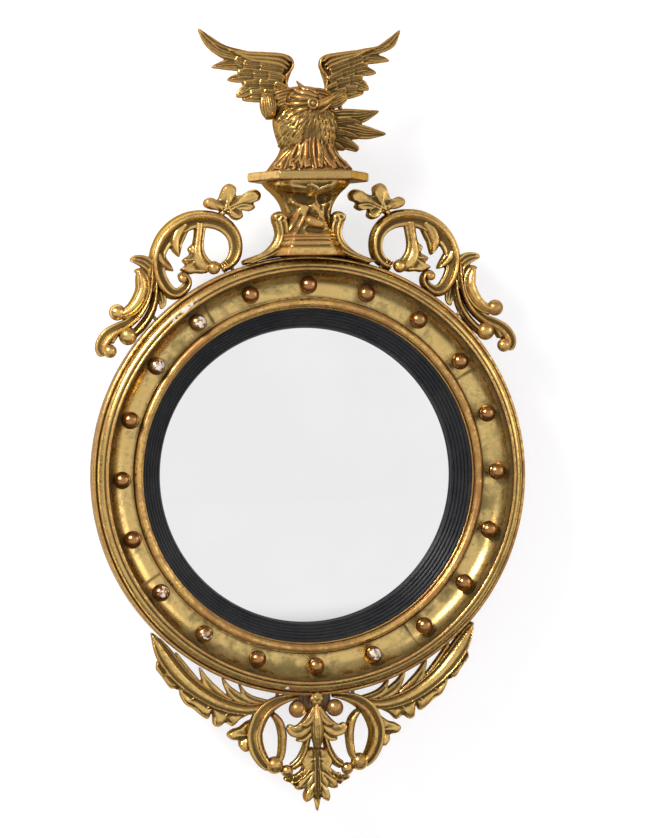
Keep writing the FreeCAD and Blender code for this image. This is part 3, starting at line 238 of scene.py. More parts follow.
def mark_flank_shade(mesh):
    """Write how far each point is turned away from the viewer's side: 0 in front, 1 at the flanks. The
    gilding uses it for painted shade, darkening the flanks.
    """
    normals = np.empty(len(mesh.vertices) * 3, np.float64)
    mesh.vertices.foreach_get("normal", normals)
    # this mark is painted shade: surfaces turned away from the front are darkened in the gilding
    store(mesh, "side", np.clip((normals[1::3] + 0.78) / 0.68, 0.0, 1.0))


def neighbour_mean(co, edges, counts):
    total = np.empty_like(co)
    a, b = edges[:, 0], edges[:, 1]
    for axis in range(3):
        column = co[:, axis]
        total[:, axis] = np.bincount(a, column[b], len(co)) + np.bincount(b, column[a], len(co))
    return total / counts[:, None]


def edge_table(mesh):
    flat = np.empty(len(mesh.edges) * 2, np.int32)
    mesh.edges.foreach_get("vertices", flat)
    edges = flat.reshape(-1, 2)
    counts = np.bincount(edges.ravel(), minlength=len(mesh.vertices)).astype(float)
    return edges, np.maximum(counts, 1.0)


def soften(mesh, rounds):
    """Relax the voxel steps without shrinking the form."""
    edges, counts = edge_table(mesh)
    co = coordinates(mesh)
    for _ in range(rounds):
        co += 0.5 * (neighbour_mean(co, edges, counts) - co)
        co -= 0.52 * (neighbour_mean(co, edges, counts) - co)
    mesh.vertices.foreach_set("co", co.ravel())
    mesh.update()


def mark_hollows(mesh, fine=0.13, broad=1.0):
    """Write how deep each point lies between its neighbours: 1 in a groove, -1 on a ridge."""
    edges, counts = edge_table(mesh)
    co = coordinates(mesh)
    normals = np.empty(len(mesh.vertices) * 3, np.float64)
    mesh.vertices.foreach_get("normal", normals)
    normals = normals.reshape(-1, 3)
    smooth = co.copy()
    for _ in range(4):
        smooth = neighbour_mean(smooth, edges, counts)
    near = ((smooth - co) * normals).sum(1) / (fine * MM)
    for _ in range(26):
        smooth = neighbour_mean(smooth, edges, counts)
    far = ((smooth - co) * normals).sum(1) / (broad * MM)
    value = np.clip(0.26 * near + 0.85 * far, -1.0, 1.0)
    store(mesh, "hollow", value)


def store(mesh, name, values):
    attribute = mesh.attributes.new(name, "FLOAT", "POINT")
    attribute.data.foreach_set("value", np.asarray(values, np.float32))


def shade_smooth(mesh):
    mesh.polygons.foreach_set("use_smooth", np.ones(len(mesh.polygons), bool))
    mesh.update()


def evaluated_copy(holder, name):
    """Mesh of an object with its modifiers applied.  The object itself is removed."""
    graph = bpy.context.evaluated_depsgraph_get()
    mesh = bpy.data.meshes.new_from_object(holder.evaluated_get(graph), depsgraph=graph)
    mesh.name = name
    holder.modifiers.clear()
    bpy.data.objects.remove(holder)
    return mesh


def carve(name, shells, grain):
    """Fuse overlapping closed shells into one carved skin."""
    verts, faces = [], []
    for shell_verts, shell_faces in shells:
        base = len(verts)
        verts.extend(np.asarray(shell_verts).tolist())
        faces.extend([tuple(base + i for i in face) for face in shell_faces])
    holder = bpy.data.objects.new(name, mesh_from(name, verts, faces))
    bpy.context.scene.collection.objects.link(holder)
    fuse = holder.modifiers.new("fuse", "REMESH")
    fuse.mode = "VOXEL"
    fuse.voxel_size = grain
    mesh = evaluated_copy(holder, name)
    soften(mesh, 2)
    mark_hollows(mesh)
    shade_smooth(mesh)
    return mesh


def mirrored(mesh, name):
    """Mirror image of a mesh across X = 0, with its faces outwards."""
    other = mesh.copy()
    other.name = name
    other.transform(Matrix.Scale(-1.0, 4, Vector((1.0, 0.0, 0.0))))
    other.flip_normals()
    return other


def joined(name, meshes):
    """One mesh from several, with their hollow marks."""
    verts, faces, marks = [], [], []
    for mesh in meshes:
        base = len(verts)
        verts.extend((coordinates(mesh) / MM).tolist())
        faces.extend([tuple(base + i for i in p.vertices) for p in mesh.polygons])
        values = np.zeros(len(mesh.vertices), np.float32)
        mesh.attributes["hollow"].data.foreach_get("value", values)
        marks.append(values)
    whole = mesh_from(name, verts, faces)
    store(whole, "hollow", np.concatenate(marks))
    shade_smooth(whole)
    return whole


# ---- strokes of the carving -------------------------------------------------------
def smooth_rows(points, step=1.6):
    """Smooth curve through rows of numbers, in steps of about the given length."""
    rows = np.asarray(points, float)
    rows = np.vstack([2 * rows[0] - rows[1], rows, 2 * rows[-1] - rows[-2]])
    out = []
    for i in range(1, len(rows) - 2):
        p0, p1, p2, p3 = rows[i - 1], rows[i], rows[i + 1], rows[i + 2]
        count = max(2, int(math.ceil(np.linalg.norm((p2 - p1)[:2]) / step)))
        for k in range(count):
            t = k / count
            out.append(0.5 * (2 * p1 + (p2 - p0) * t + (2 * p0 - 5 * p1 + 4 * p2 - p3) * t * t
                              + (3 * p1 - p0 - 3 * p2 + p3) * t ** 3))
    out.append(rows[-2])
    return np.array(out)


def dense_section(section, steps=3):
    points = []
    for a, b in zip(section, section[1:]):
        for k in range(steps):
            t = k / steps
            points.append((a[0] + (b[0] - a[0]) * t, a[1] + (b[1] - a[1]) * t))
    points.append(section[-1])
    points += [(0.82, 0.06), (0.5, 0.0), (-0.5, 0.0), (-0.82, 0.06)]
    return np.array(points)


def stroke(points, section, front, back, start=0.0, end=0.0, thin=0.35):
    """Swept band.  Rows are x, z, half width and, where given, a lift towards the viewer.

    start and end round the band's ends over that many millimetres; thin is how much
    of the depth is lost where the band is narrow.
    """
    rows = [tuple(p) + (0.0,) * (4 - len(p)) for p in points]
    rows = smooth_rows(rows)
    centre, half, lift = rows[:, :2], np.maximum(rows[:, 2], 0.35), rows[:, 3]
    step = np.gradient(centre, axis=0)
    step /= np.maximum(np.linalg.norm(step, axis=1), 1e-6)[:, None]
    side = np.stack([-step[:, 1], step[:, 0]], 1)
    along = np.concatenate([[0.0], np.cumsum(np.linalg.norm(np.diff(centre, axis=0), axis=1))])
    close = np.ones(len(rows))
    if start:
        close *= np.sqrt(np.clip(1 - (1 - np.minimum(along / start, 1.0)) ** 2, 0.02, 1.0))
    if end:
        left = along[-1] - along
        close *= np.sqrt(np.clip(1 - (1 - np.minimum(left / end, 1.0)) ** 2, 0.02, 1.0))
    deep = (1 - thin) + thin * half / half.max()
    deep *= 0.4 + 0.6 * close
    half = half * close
    loop = dense_section(section)
    count = len(loop)
    middle = 0.5
    verts = []
    for c, s, h, d, up in zip(centre, side, half, deep, lift):
        forward = middle + (loop[:, 1] - middle) * d
        x = c[0] + s[0] * loop[:, 0] * h
        z = c[1] + s[1] * loop[:, 0] * h
        y = back + (front - back) * forward - up
        verts.append(np.stack([x, y, z], 1))
    faces = []
    for i in range(len(rows) - 1):
        for j in range(count):
            k = (j + 1) % count
            faces.append((i * count + j, i * count + k, (i + 1) * count + k, (i + 1) * count + j))
    last = (len(rows) - 1) * count
    faces.append(tuple(range(count - 1, -1, -1)))
    faces.append(tuple(range(last, last + count)))
    return np.vstack(verts), faces


def ball(x, y, z, radius, squash=(1.0, 1.0, 1.0), turn=0.0, rings=18, steps=28):
    """Closed ellipsoid, turned about Y where asked."""
    verts = [(0.0, 0.0, 1.0)]
    for i in range(1, rings):
        a = math.pi * i / rings
        for k in range(steps):
            b = 2 * math.pi * k / steps
            verts.append((math.sin(a) * math.cos(b), math.sin(a) * math.sin(b), math.cos(a)))
    verts.append((0.0, 0.0, -1.0))
    faces = [(0, 1 + k, 1 + (k + 1) % steps) for k in range(steps)]
    for i in range(rings - 2):
        for k in range(steps):
            a, b = 1 + i * steps + k, 1 + i * steps + (k + 1) % steps
            faces.append((a, a + steps, b + steps, b))
    low = len(verts) - 1
    faces += [(low, low - steps + (k + 1) % steps, low - steps + k) for k in range(steps)]
    co = np.array(verts) * np.array(squash) * radius
    c, s = math.cos(turn), math.sin(turn)
    co = np.stack([co[:, 0] * c + co[:, 2] * s, co[:, 1], -co[:, 0] * s + co[:, 2] * c], 1)
    return co + np.array([x, y, z]), faces


def loft(rings):
    """Closed skin through rings of points of equal count."""
    count = len(rings[0])
    faces = [tuple(range(count - 1, -1, -1))]
    for i in range(len(rings) - 1):
        for j in range(count):
            k = (j + 1) % count
            faces.append((i * count + j, i * count + k, (i + 1) * count + k, (i + 1) * count + j))
    last = (len(rings) - 1) * count
    faces.append(tuple(range(last, last + count)))
    return np.vstack(rings), faces


def closed_curve(points, step=1.5):
    """Smooth closed curve through rows of numbers."""
    rows = np.asarray(points, float)
    count = len(rows)
    out = []
    for i in range(count):
        p0, p1, p2, p3 = rows[i - 1], rows[i], rows[(i + 1) % count], rows[(i + 2) % count]
        steps = max(2, int(math.ceil(np.linalg.norm((p2 - p1)[:2]) / step)))
        for k in range(steps):
            t = k / steps
            out.append(0.5 * (2 * p1 + (p2 - p0) * t + (2 * p0 - 5 * p1 + 4 * p2 - p3) * t * t
                              + (3 * p1 - p0 - 3 * p2 + p3) * t ** 3))
    return np.array(out)


def leaf(centre, outline, front, back, valley=4.0, curl=2.0):
    """Carved leaf from its foot to a closed outline.

    Outline rows are x, z and a level: 1 at the tip of a lobe and 0 in a notch.
    """
    rim = closed_curve(outline)
    level = np.clip(rim[:, 2], 0.0, 1.0)
    foot = np.array(centre, float)
    rings = []
    for t in (0.03, 0.12, 0.24, 0.36, 0.48, 0.6, 0.7, 0.8, 0.88, 0.94, 0.98, 1.0):
        place = foot + (rim[:, :2] - foot) * t
        fall = valley * (1 - level) * math.sin(min(t, 0.8) / 0.8 * math.pi / 2)
        rib = 1.3 * np.clip((level - 0.86) / 0.14, 0, 1) * (1 - t * t)
        edge = (back - front) * 0.45 * max(0.0, (t - 0.86) / 0.14) ** 2.5
        y = front + 1.2 * (1 - t) + fall - rib - curl * t * t * level + edge
        rings.append(np.stack([place[:, 0], y, place[:, 1]], 1))
    for t in (1.0, 0.05):
        place = foot + (rim[:, :2] - foot) * t
        rings.append(np.stack([place[:, 0], np.full(len(rim), back), place[:, 1]], 1))
    return loft(rings)


def web(edge_a, edge_b, front, back, flutes=0.0, depth=1.5, bulge=1.5, across=22):
    """Curved plate between two edges, with flutes along it.  Rows are x, z and a lift."""
    edges = []
    count = 0
    for edge in (edge_a, edge_b):
        rows = smooth_rows([tuple(row) + (0.0,) * (3 - len(row)) for row in edge], 1.2)
        edges.append(rows)
        count = max(count, len(rows))
    even = []
    for rows in edges:
        along = np.concatenate([[0.0], np.cumsum(np.linalg.norm(np.diff(rows[:, :2], axis=0), axis=1))])
        marks = np.linspace(0, along[-1], count)
        even.append(np.stack([np.interp(marks, along, rows[:, k]) for k in range(3)], 1))
    rings = []
    for a, b in zip(*even):
        loop = []
        for k in range(across + 1):
            v = k / across
            x, z, lift = a + (b - a) * v
            edge = (2 * v - 1) ** 8
            y = front + (back - front) * 0.4 * edge - lift * (1 - edge) - bulge * math.sin(math.pi * v)
            loop.append((x, y - depth * (1 - edge) * math.cos(2 * math.pi * flutes * v) if flutes else y, z))
        loop += [(b[0], back, b[1]), (a[0], back, a[1])]
        rings.append(np.array(loop))
    return loft(rings)


def moved(shell, dx, dz=0.0):
    verts, faces = shell
    return verts + np.array([dx, 0.0, dz]), faces


def flip_x(shell):
    verts, faces = shell
    verts = np.array(verts, float)
    verts[:, 0] *= -1
    return verts, [tuple(reversed(face)) for face in faces]


# ---- shader groups ----------------------------------------------------------------
def new_group(name, inputs, outputs):
    tree = bpy.data.node_groups.new(name, "ShaderNodeTree")
    for title, kind, value in inputs:
        socket = tree.interface.new_socket(title, in_out="INPUT", socket_type=kind)
        if value is not None:
            socket.default_value = value
    for title, kind in outputs:
        tree.interface.new_socket(title, in_out="OUTPUT", socket_type=kind)
    return tree, tree.nodes.new("NodeGroupInput").outputs, tree.nodes.new("NodeGroupOutput").inputs


def noise(tree, place, scale, detail=3.0, rough=0.55, seed=0.0):
    node = tree.nodes.new("ShaderNodeTexNoise")
    node.noise_dimensions = "4D"
    node.inputs["Scale"].default_value = scale
    node.inputs["Detail"].default_value = detail
    node.inputs["Roughness"].default_value = rough
    node.inputs["W"].default_value = seed
    tree.links.new(place, node.inputs["Vector"])
    return node.outputs["Fac"]


def wire(tree, value, socket):
    if isinstance(value, bpy.types.NodeSocket):
        tree.links.new(value, socket)
    else:
        socket.default_value = value


def maths(tree, kind, a, b=0.0, clamp=False):
    node = tree.nodes.new("ShaderNodeMath")
    node.operation = kind
    node.use_clamp = clamp
    wire(tree, a, node.inputs[0])
    wire(tree, b, node.inputs[1])
    return node.outputs[0]


def ramp(tree, value, low, high, to_low=0.0, to_high=1.0):
    node = tree.nodes.new("ShaderNodeMapRange")
    node.interpolation_type = "SMOOTHSTEP"
    wire(tree, value, node.inputs["Value"])
    wire(tree, low, node.inputs["From Min"])
    wire(tree, high, node.inputs["From Max"])
    node.inputs["To Min"].default_value = to_low
    node.inputs["To Max"].default_value = to_high
    return node.outputs["Result"]


def mix(tree, amount, a, b):
    node = tree.nodes.new("ShaderNodeMix")
    node.data_type = "RGBA"
    wire(tree, amount, node.inputs["Factor"])
    wire(tree, a, node.inputs["A"])
    wire(tree, b, node.inputs["B"])
    return node.outputs["Result"]


def gilding_group():
    """Leaf over bole and gesso: dull and bright leaf, patina, umber in hollows as dirt and painted shade,
    painted shade on the flanks, rubbed ridges.
    """
    colour, value, vector = "NodeSocketColor", "NodeSocketFloat", "NodeSocketVector"
    tree, use, give = new_group("Aged gilding", [
        ("Place", vector, None), ("Hollow", value, 0.0), ("Gold", colour, None), ("Dull Gold", colour, None),
        ("Patina", colour, None), ("Umber", colour, None), ("Bole", colour, None),
        ("Patina Amount", value, 0.4), ("Tone Amount", value, 0.5), ("Wear", value, 0.5),
        ("Grime_And_Shade", value, 0.0), ("Side", value, 0.0),
    ], [("Color", colour), ("Metal", value), ("Roughness", value), ("Height", value)])
    place = use["Place"]
    wide = noise(tree, place, 11.0, 4.0, 0.6, 1.0)
    spots = noise(tree, place, 60.0, 5.0, 0.62, 2.0)
    streaks = noise(tree, place, 170.0, 4.0, 0.6, 3.0)
    specks = noise(tree, place, 900.0, 2.0, 0.6, 4.0)
    blend = maths(tree, "ADD", maths(tree, "MULTIPLY", wide, 0.55), maths(tree, "MULTIPLY", spots, 0.45))
    raised = maths(tree, "MULTIPLY", use["Hollow"], -0.25)
    bright = ramp(tree, maths(tree, "ADD", blend, raised), 0.36, 0.62)
    base = mix(tree, bright, use["Dull Gold"], use["Gold"])
    mottle = maths(tree, "ADD", maths(tree, "MULTIPLY", wide, 0.6), maths(tree, "MULTIPLY", spots, 0.6))
    film = ramp(tree, maths(tree, "ADD", mottle, maths(tree, "MULTIPLY", streaks, 0.2)), 0.62, 0.86)
    film = maths(tree, "MULTIPLY", film, use["Patina Amount"], True)
    base = mix(tree, film, base, use["Patina"])
    # painted shade: the flanks, turned away from the front, are darkened towards umber
    flank_shade = ramp(tree, maths(tree, "ADD", use["Side"], maths(tree, "MULTIPLY", spots, 0.7)), 0.55, 1.3)
    base = mix(tree, maths(tree, "MULTIPLY", flank_shade, 0.62), base, use["Umber"])
    ridge = maths(tree, "MULTIPLY", maths(tree, "MINIMUM", use["Hollow"], 0.0), -0.22)
    rub = maths(tree, "ADD", ridge, maths(tree, "MULTIPLY", streaks, 0.75))
    rub = maths(tree, "ADD", rub, maths(tree, "MULTIPLY", wide, 0.5))
    rub = maths(tree, "ADD", rub, maths(tree, "MULTIPLY", use["Wear"], 0.25))
    rubbed = ramp(tree, rub, 0.88, 1.08)
    base = mix(tree, maths(tree, "MULTIPLY", rubbed, 0.7), base, use["Bole"])
    uneven = maths(tree, "MULTIPLY", maths(tree, "SUBTRACT", spots, 0.5), 0.9)
    sunk = maths(tree, "ADD", maths(tree, "ADD", use["Hollow"], uneven),
                 maths(tree, "SUBTRACT", use["Tone Amount"], 0.5))
    stain = ramp(tree, sunk, 0.12, 0.72)
    base = mix(tree, maths(tree, "MULTIPLY", stain, 0.8), base, use["Patina"])
    # dirt and painted shade: umber deepens in grooves and broad hollows, the deeper the darker
    tone = ramp(tree, sunk, 0.36, 0.95)
    # the grime mark adds painted shade, and dirt at the cove joints, where a piece carries one
    tone = maths(tree, "MAXIMUM", tone, use["Grime_And_Shade"])
    base = mix(tree, maths(tree, "MULTIPLY", tone, 0.9), base, use["Umber"])
    fleck = ramp(tree, specks, 0.66, 0.78, 0.0, 0.35)
    base = mix(tree, fleck, base, use["Umber"])
    tree.links.new(base, give["Color"])
    lost = maths(tree, "MAXIMUM", maths(tree, "MULTIPLY", tone, 0.85), maths(tree, "MULTIPLY", rubbed, 0.45))
    lost = maths(tree, "MAXIMUM", lost, maths(tree, "MULTIPLY", film, 0.4))
    lost = maths(tree, "MAXIMUM", lost, maths(tree, "MULTIPLY", stain, 0.35))
    tree.links.new(maths(tree, "SUBTRACT", 1.0, lost, True), give["Metal"])
    rough = maths(tree, "ADD", 0.15, maths(tree, "MULTIPLY", streaks, 0.2))
    rough = maths(tree, "ADD", rough, maths(tree, "MULTIPLY", lost, 0.25), True)
    tree.links.new(rough, give["Roughness"])
    high = maths(tree, "ADD", maths(tree, "MULTIPLY", spots, 0.6), maths(tree, "MULTIPLY", streaks, 0.35))
    high = maths(tree, "ADD", high, maths(tree, "MULTIPLY", specks, 0.12))
    tree.links.new(high, give["Height"])
    return tree


def timber_group():
    """Straight grain with pores, for bare and painted wood."""
    colour, value, vector = "NodeSocketColor", "NodeSocketFloat", "NodeSocketVector"
    tree, use, give = new_group("Timber", [
        ("Place", vector, None), ("Light", colour, None), ("Dark", colour, None),
        ("Ring Width", value, 160.0),
    ], [("Color", colour), ("Height", value)])
    stretch = tree.nodes.new("ShaderNodeMapping")
    stretch.inputs["Scale"].default_value = (1.0, 1.0, 0.06)
    tree.links.new(use["Place"], stretch.inputs["Vector"])
    place = stretch.outputs["Vector"]
    warp = noise(tree, place, 30.0, 3.0, 0.5, 5.0)
    fine = noise(tree, place, 900.0, 3.0, 0.6, 6.0)
    bands = maths(tree, "SINE", maths(tree, "MULTIPLY", warp, use["Ring Width"]))
    grain = ramp(tree, maths(tree, "ADD", maths(tree, "MULTIPLY", bands, 0.4), fine), 0.1, 1.0)
    tree.links.new(mix(tree, grain, use["Dark"], use["Light"]), give["Color"])
    tree.links.new(maths(tree, "ADD", fine, maths(tree, "MULTIPLY", bands, 0.1)), give["Height"])
    return tree


def dust_group():
    """Pale dust that settles in patches."""
    colour, value, vector = "NodeSocketColor", "NodeSocketFloat", "NodeSocketVector"
    tree, use, give = new_group("Dust", [
        ("Place", vector, None), ("Surface", colour, None), ("Dust", colour, (0.42, 0.38, 0.32, 1.0)),
        ("Amount", value, 0.2), ("Base Roughness", value, 0.4),
    ], [("Color", colour), ("Roughness", value)])
    patches = noise(tree, use["Place"], 26.0, 5.0, 0.65, 7.0)
    specks = noise(tree, use["Place"], 480.0, 2.0, 0.5, 8.0)
    mask = ramp(tree, maths(tree, "ADD", patches, maths(tree, "MULTIPLY", specks, 0.4)), 0.55, 0.95)
    mask = maths(tree, "MULTIPLY", mask, use["Amount"], True)
    tree.links.new(mix(tree, mask, use["Surface"], use["Dust"]), give["Color"])
    rough = maths(tree, "ADD", use["Base Roughness"], maths(tree, "MULTIPLY", mask, 0.4), True)
    tree.links.new(rough, give["Roughness"])
    return tree


GROUPS = {}


def shared_group(key, maker):
    if key not in GROUPS:
        GROUPS[key] = maker()
    return GROUPS[key]


def new_material(name):
    material = bpy.data.materials.get(name)
    if material:
        return material, None, None
    material = bpy.data.materials.new(name)
    material.use_nodes = True
    tree = material.node_tree
    return material, tree, tree.nodes["Principled BSDF"]


def place_output(tree):
    return tree.nodes.new("ShaderNodeTexCoord").outputs["Object"]


def mark_output(tree, name):
    node = tree.nodes.new("ShaderNodeAttribute")
    node.attribute_name = name
    return node.outputs["Fac"]


def place_group(tree, group):
    node = tree.nodes.new("ShaderNodeGroup")
    node.node_tree = group
    return node


def bump(tree, shader, height, distance, strength):
    node = tree.nodes.new("ShaderNodeBump")
    node.inputs["Distance"].default_value = distance
    node.inputs["Strength"].default_value = strength
    tree.links.new(height, node.inputs["Height"])
    tree.links.new(node.outputs["Normal"], shader.inputs["Normal"])


def rgba(colour, level=1.0):
    return tuple(min(c * level, 1.0) for c in colour) + (1.0,)


def gilt_material(name, patina=0.45, tone=0.5, wear=None, gold=None, dull=None, bump_mm=0.35, grime_and_shade_mark=None,
                  chips=False):
    """Gilding with its own balance of patina, tone and wear."""
    material, tree, shader = new_material(name)
    if tree is None:
        return material
    look = bpy.context.scene.mirror_gilding
    node = place_group(tree, shared_group("gilding", gilding_group))
    place = place_output(tree)
    tree.links.new(place, node.inputs["Place"])
    tree.links.new(mark_output(tree, "hollow"), node.inputs["Hollow"])
    # the side mark feeds the painted shade on the flanks
    tree.links.new(mark_output(tree, "side"), node.inputs["Side"])
    node.inputs["Gold"].default_value = rgba(gold or look.gold)
    node.inputs["Dull Gold"].default_value = rgba(dull or look.dull_gold)
    node.inputs["Patina"].default_value = rgba(look.patina)
    node.inputs["Umber"].default_value = rgba(look.umber)
    node.inputs["Bole"].default_value = rgba(look.bole)
    node.inputs["Patina Amount"].default_value = patina
    node.inputs["Tone Amount"].default_value = tone
    node.inputs["Wear"].default_value = look.wear if wear is None else wear
    colour, metal, rough = node.outputs["Color"], node.outputs["Metal"], node.outputs["Roughness"]
    if grime_and_shade_mark:
        tree.links.new(mark_output(tree, grime_and_shade_mark), node.inputs["Grime_And_Shade"])
    if chips:
        chip = chip_mask(tree, place)
        colour = mix(tree, chip, colour, (0.6, 0.58, 0.55, 1.0))
        metal = maths(tree, "MULTIPLY", metal, maths(tree, "SUBTRACT", 1.0, chip))
        rough = maths(tree, "MAXIMUM", rough, maths(tree, "MULTIPLY", chip, 0.8))
    tree.links.new(colour, shader.inputs["Base Color"])
    tree.links.new(metal, shader.inputs["Metallic"])
    tree.links.new(rough, shader.inputs["Roughness"])
    shader.inputs["Specular Tint"].default_value = (0.62, 0.42, 0.17, 1.0)
    bump(tree, shader, node.outputs["Height"], bump_mm * MM, 0.6)
    return material


def chip_mask(tree, place):
    """Bare gesso where the leaf is lost: ragged patches inside the marked area."""
    marked = mark_output(tree, "chip")
    ragged = maths(tree, "ADD", noise(tree, place, 170.0, 5.0, 0.7, 9.0),
                   maths(tree, "MULTIPLY", noise(tree, place, 500.0, 3.0, 0.6, 10.0), 0.3))
    level = maths(tree, "ADD", marked, maths(tree, "MULTIPLY", maths(tree, "SUBTRACT", ragged, 0.65), 1.6))
    return ramp(tree, level, 0.62, 0.7)


def slip_material():
    """Black lacquer, dulled and slightly rubbed on the reeds."""
    material, tree, shader = new_material("ebonised slip")
    if tree is None:
        return material
    place = place_output(tree)
    hollow = mark_output(tree, "hollow")
    worn = maths(tree, "ADD", maths(tree, "MULTIPLY", hollow, -0.4),
                 noise(tree, place, 120.0, 4.0, 0.6, 11.0))
    surface = mix(tree, ramp(tree, worn, 0.6, 0.9), (0.0045, 0.005, 0.0065, 1.0), (0.016, 0.017, 0.02, 1.0))
    node = place_group(tree, shared_group("dust", dust_group))
    tree.links.new(place, node.inputs["Place"])
    tree.links.new(surface, node.inputs["Surface"])
    node.inputs["Amount"].default_value = 0.03
    node.inputs["Base Roughness"].default_value = 0.34
    shader.inputs["Specular IOR Level"].default_value = 0.13
    tree.links.new(node.outputs["Color"], shader.inputs["Base Color"])
    tree.links.new(node.outputs["Roughness"], shader.inputs["Roughness"])
    bump(tree, shader, noise(tree, place, 300.0, 3.0, 0.6, 12.0), 0.1 * MM, 0.4)
    return material


def glass_material():
    """Silvered convex glass with the faint haze of an old plate."""
    material, tree, shader = new_material("convex mirror glass")
    if tree is None:
        return material
    place = place_output(tree)
    haze = noise(tree, place, 9.0, 3.0, 0.5, 13.0)
    colour = mix(tree, ramp(tree, haze, 0.4, 0.7), (0.945, 0.94, 0.945, 1.0), (0.97, 0.965, 0.97, 1.0))
    tree.links.new(colour, shader.inputs["Base Color"])
    shader.inputs["Metallic"].default_value = 1.0
    specks = ramp(tree, noise(tree, place, 650.0, 2.0, 0.5, 14.0), 0.72, 0.8, 0.035, 0.2)
    tree.links.new(specks, shader.inputs["Roughness"])
    return material


def timber_material(name, light, dark):
    material, tree, shader = new_material(name)
    if tree is None:
        return material
    place = place_output(tree)
    node = place_group(tree, shared_group("timber", timber_group))
    tree.links.new(place, node.inputs["Place"])
    node.inputs["Light"].default_value = rgba(light)
    node.inputs["Dark"].default_value = rgba(dark)
    dust = place_group(tree, shared_group("dust", dust_group))
    tree.links.new(place, dust.inputs["Place"])
    tree.links.new(node.outputs["Color"], dust.inputs["Surface"])
    dust.inputs["Amount"].default_value = 0.4
    dust.inputs["Base Roughness"].default_value = 0.7
    tree.links.new(dust.outputs["Color"], shader.inputs["Base Color"])
    tree.links.new(dust.outputs["Roughness"], shader.inputs["Roughness"])
    bump(tree, shader, node.outputs["Height"], 0.2 * MM, 0.6)
    return material


def metal_material(name, bright, dark, metallic, rough):
    """Old brass or iron: polished where handled and dark with tarnish elsewhere."""
    material, tree, shader = new_material(name)
    if tree is None:
        return material
    place = place_output(tree)
    patches = ramp(tree, noise(tree, place, 130.0, 5.0, 0.65, 15.0), 0.35, 0.68)
    dust = place_group(tree, shared_group("dust", dust_group))
    tree.links.new(place, dust.inputs["Place"])
    tree.links.new(mix(tree, patches, rgba(dark), rgba(bright)), dust.inputs["Surface"])
    dust.inputs["Amount"].default_value = 0.12
    dust.inputs["Base Roughness"].default_value = rough
    tree.links.new(dust.outputs["Color"], shader.inputs["Base Color"])
    tree.links.new(dust.outputs["Roughness"], shader.inputs["Roughness"])
    shader.inputs["Metallic"].default_value = metallic
    bump(tree, shader, noise(tree, place, 700.0, 3.0, 0.6, 16.0), 0.08 * MM, 0.5)
    return material


def felt_material():
    material, tree, shader = new_material("felt")
    if tree is None:
        return material
    place = place_output(tree)
    fuzz = noise(tree, place, 1500.0, 4.0, 0.7, 17.0)
    tree.links.new(mix(tree, fuzz, (0.03, 0.06, 0.035, 1.0), (0.10, 0.17, 0.1, 1.0)),
                   shader.inputs["Base Color"])
    shader.inputs["Roughness"].default_value = 0.95
    bump(tree, shader, fuzz, 0.4 * MM, 0.8)
    return material


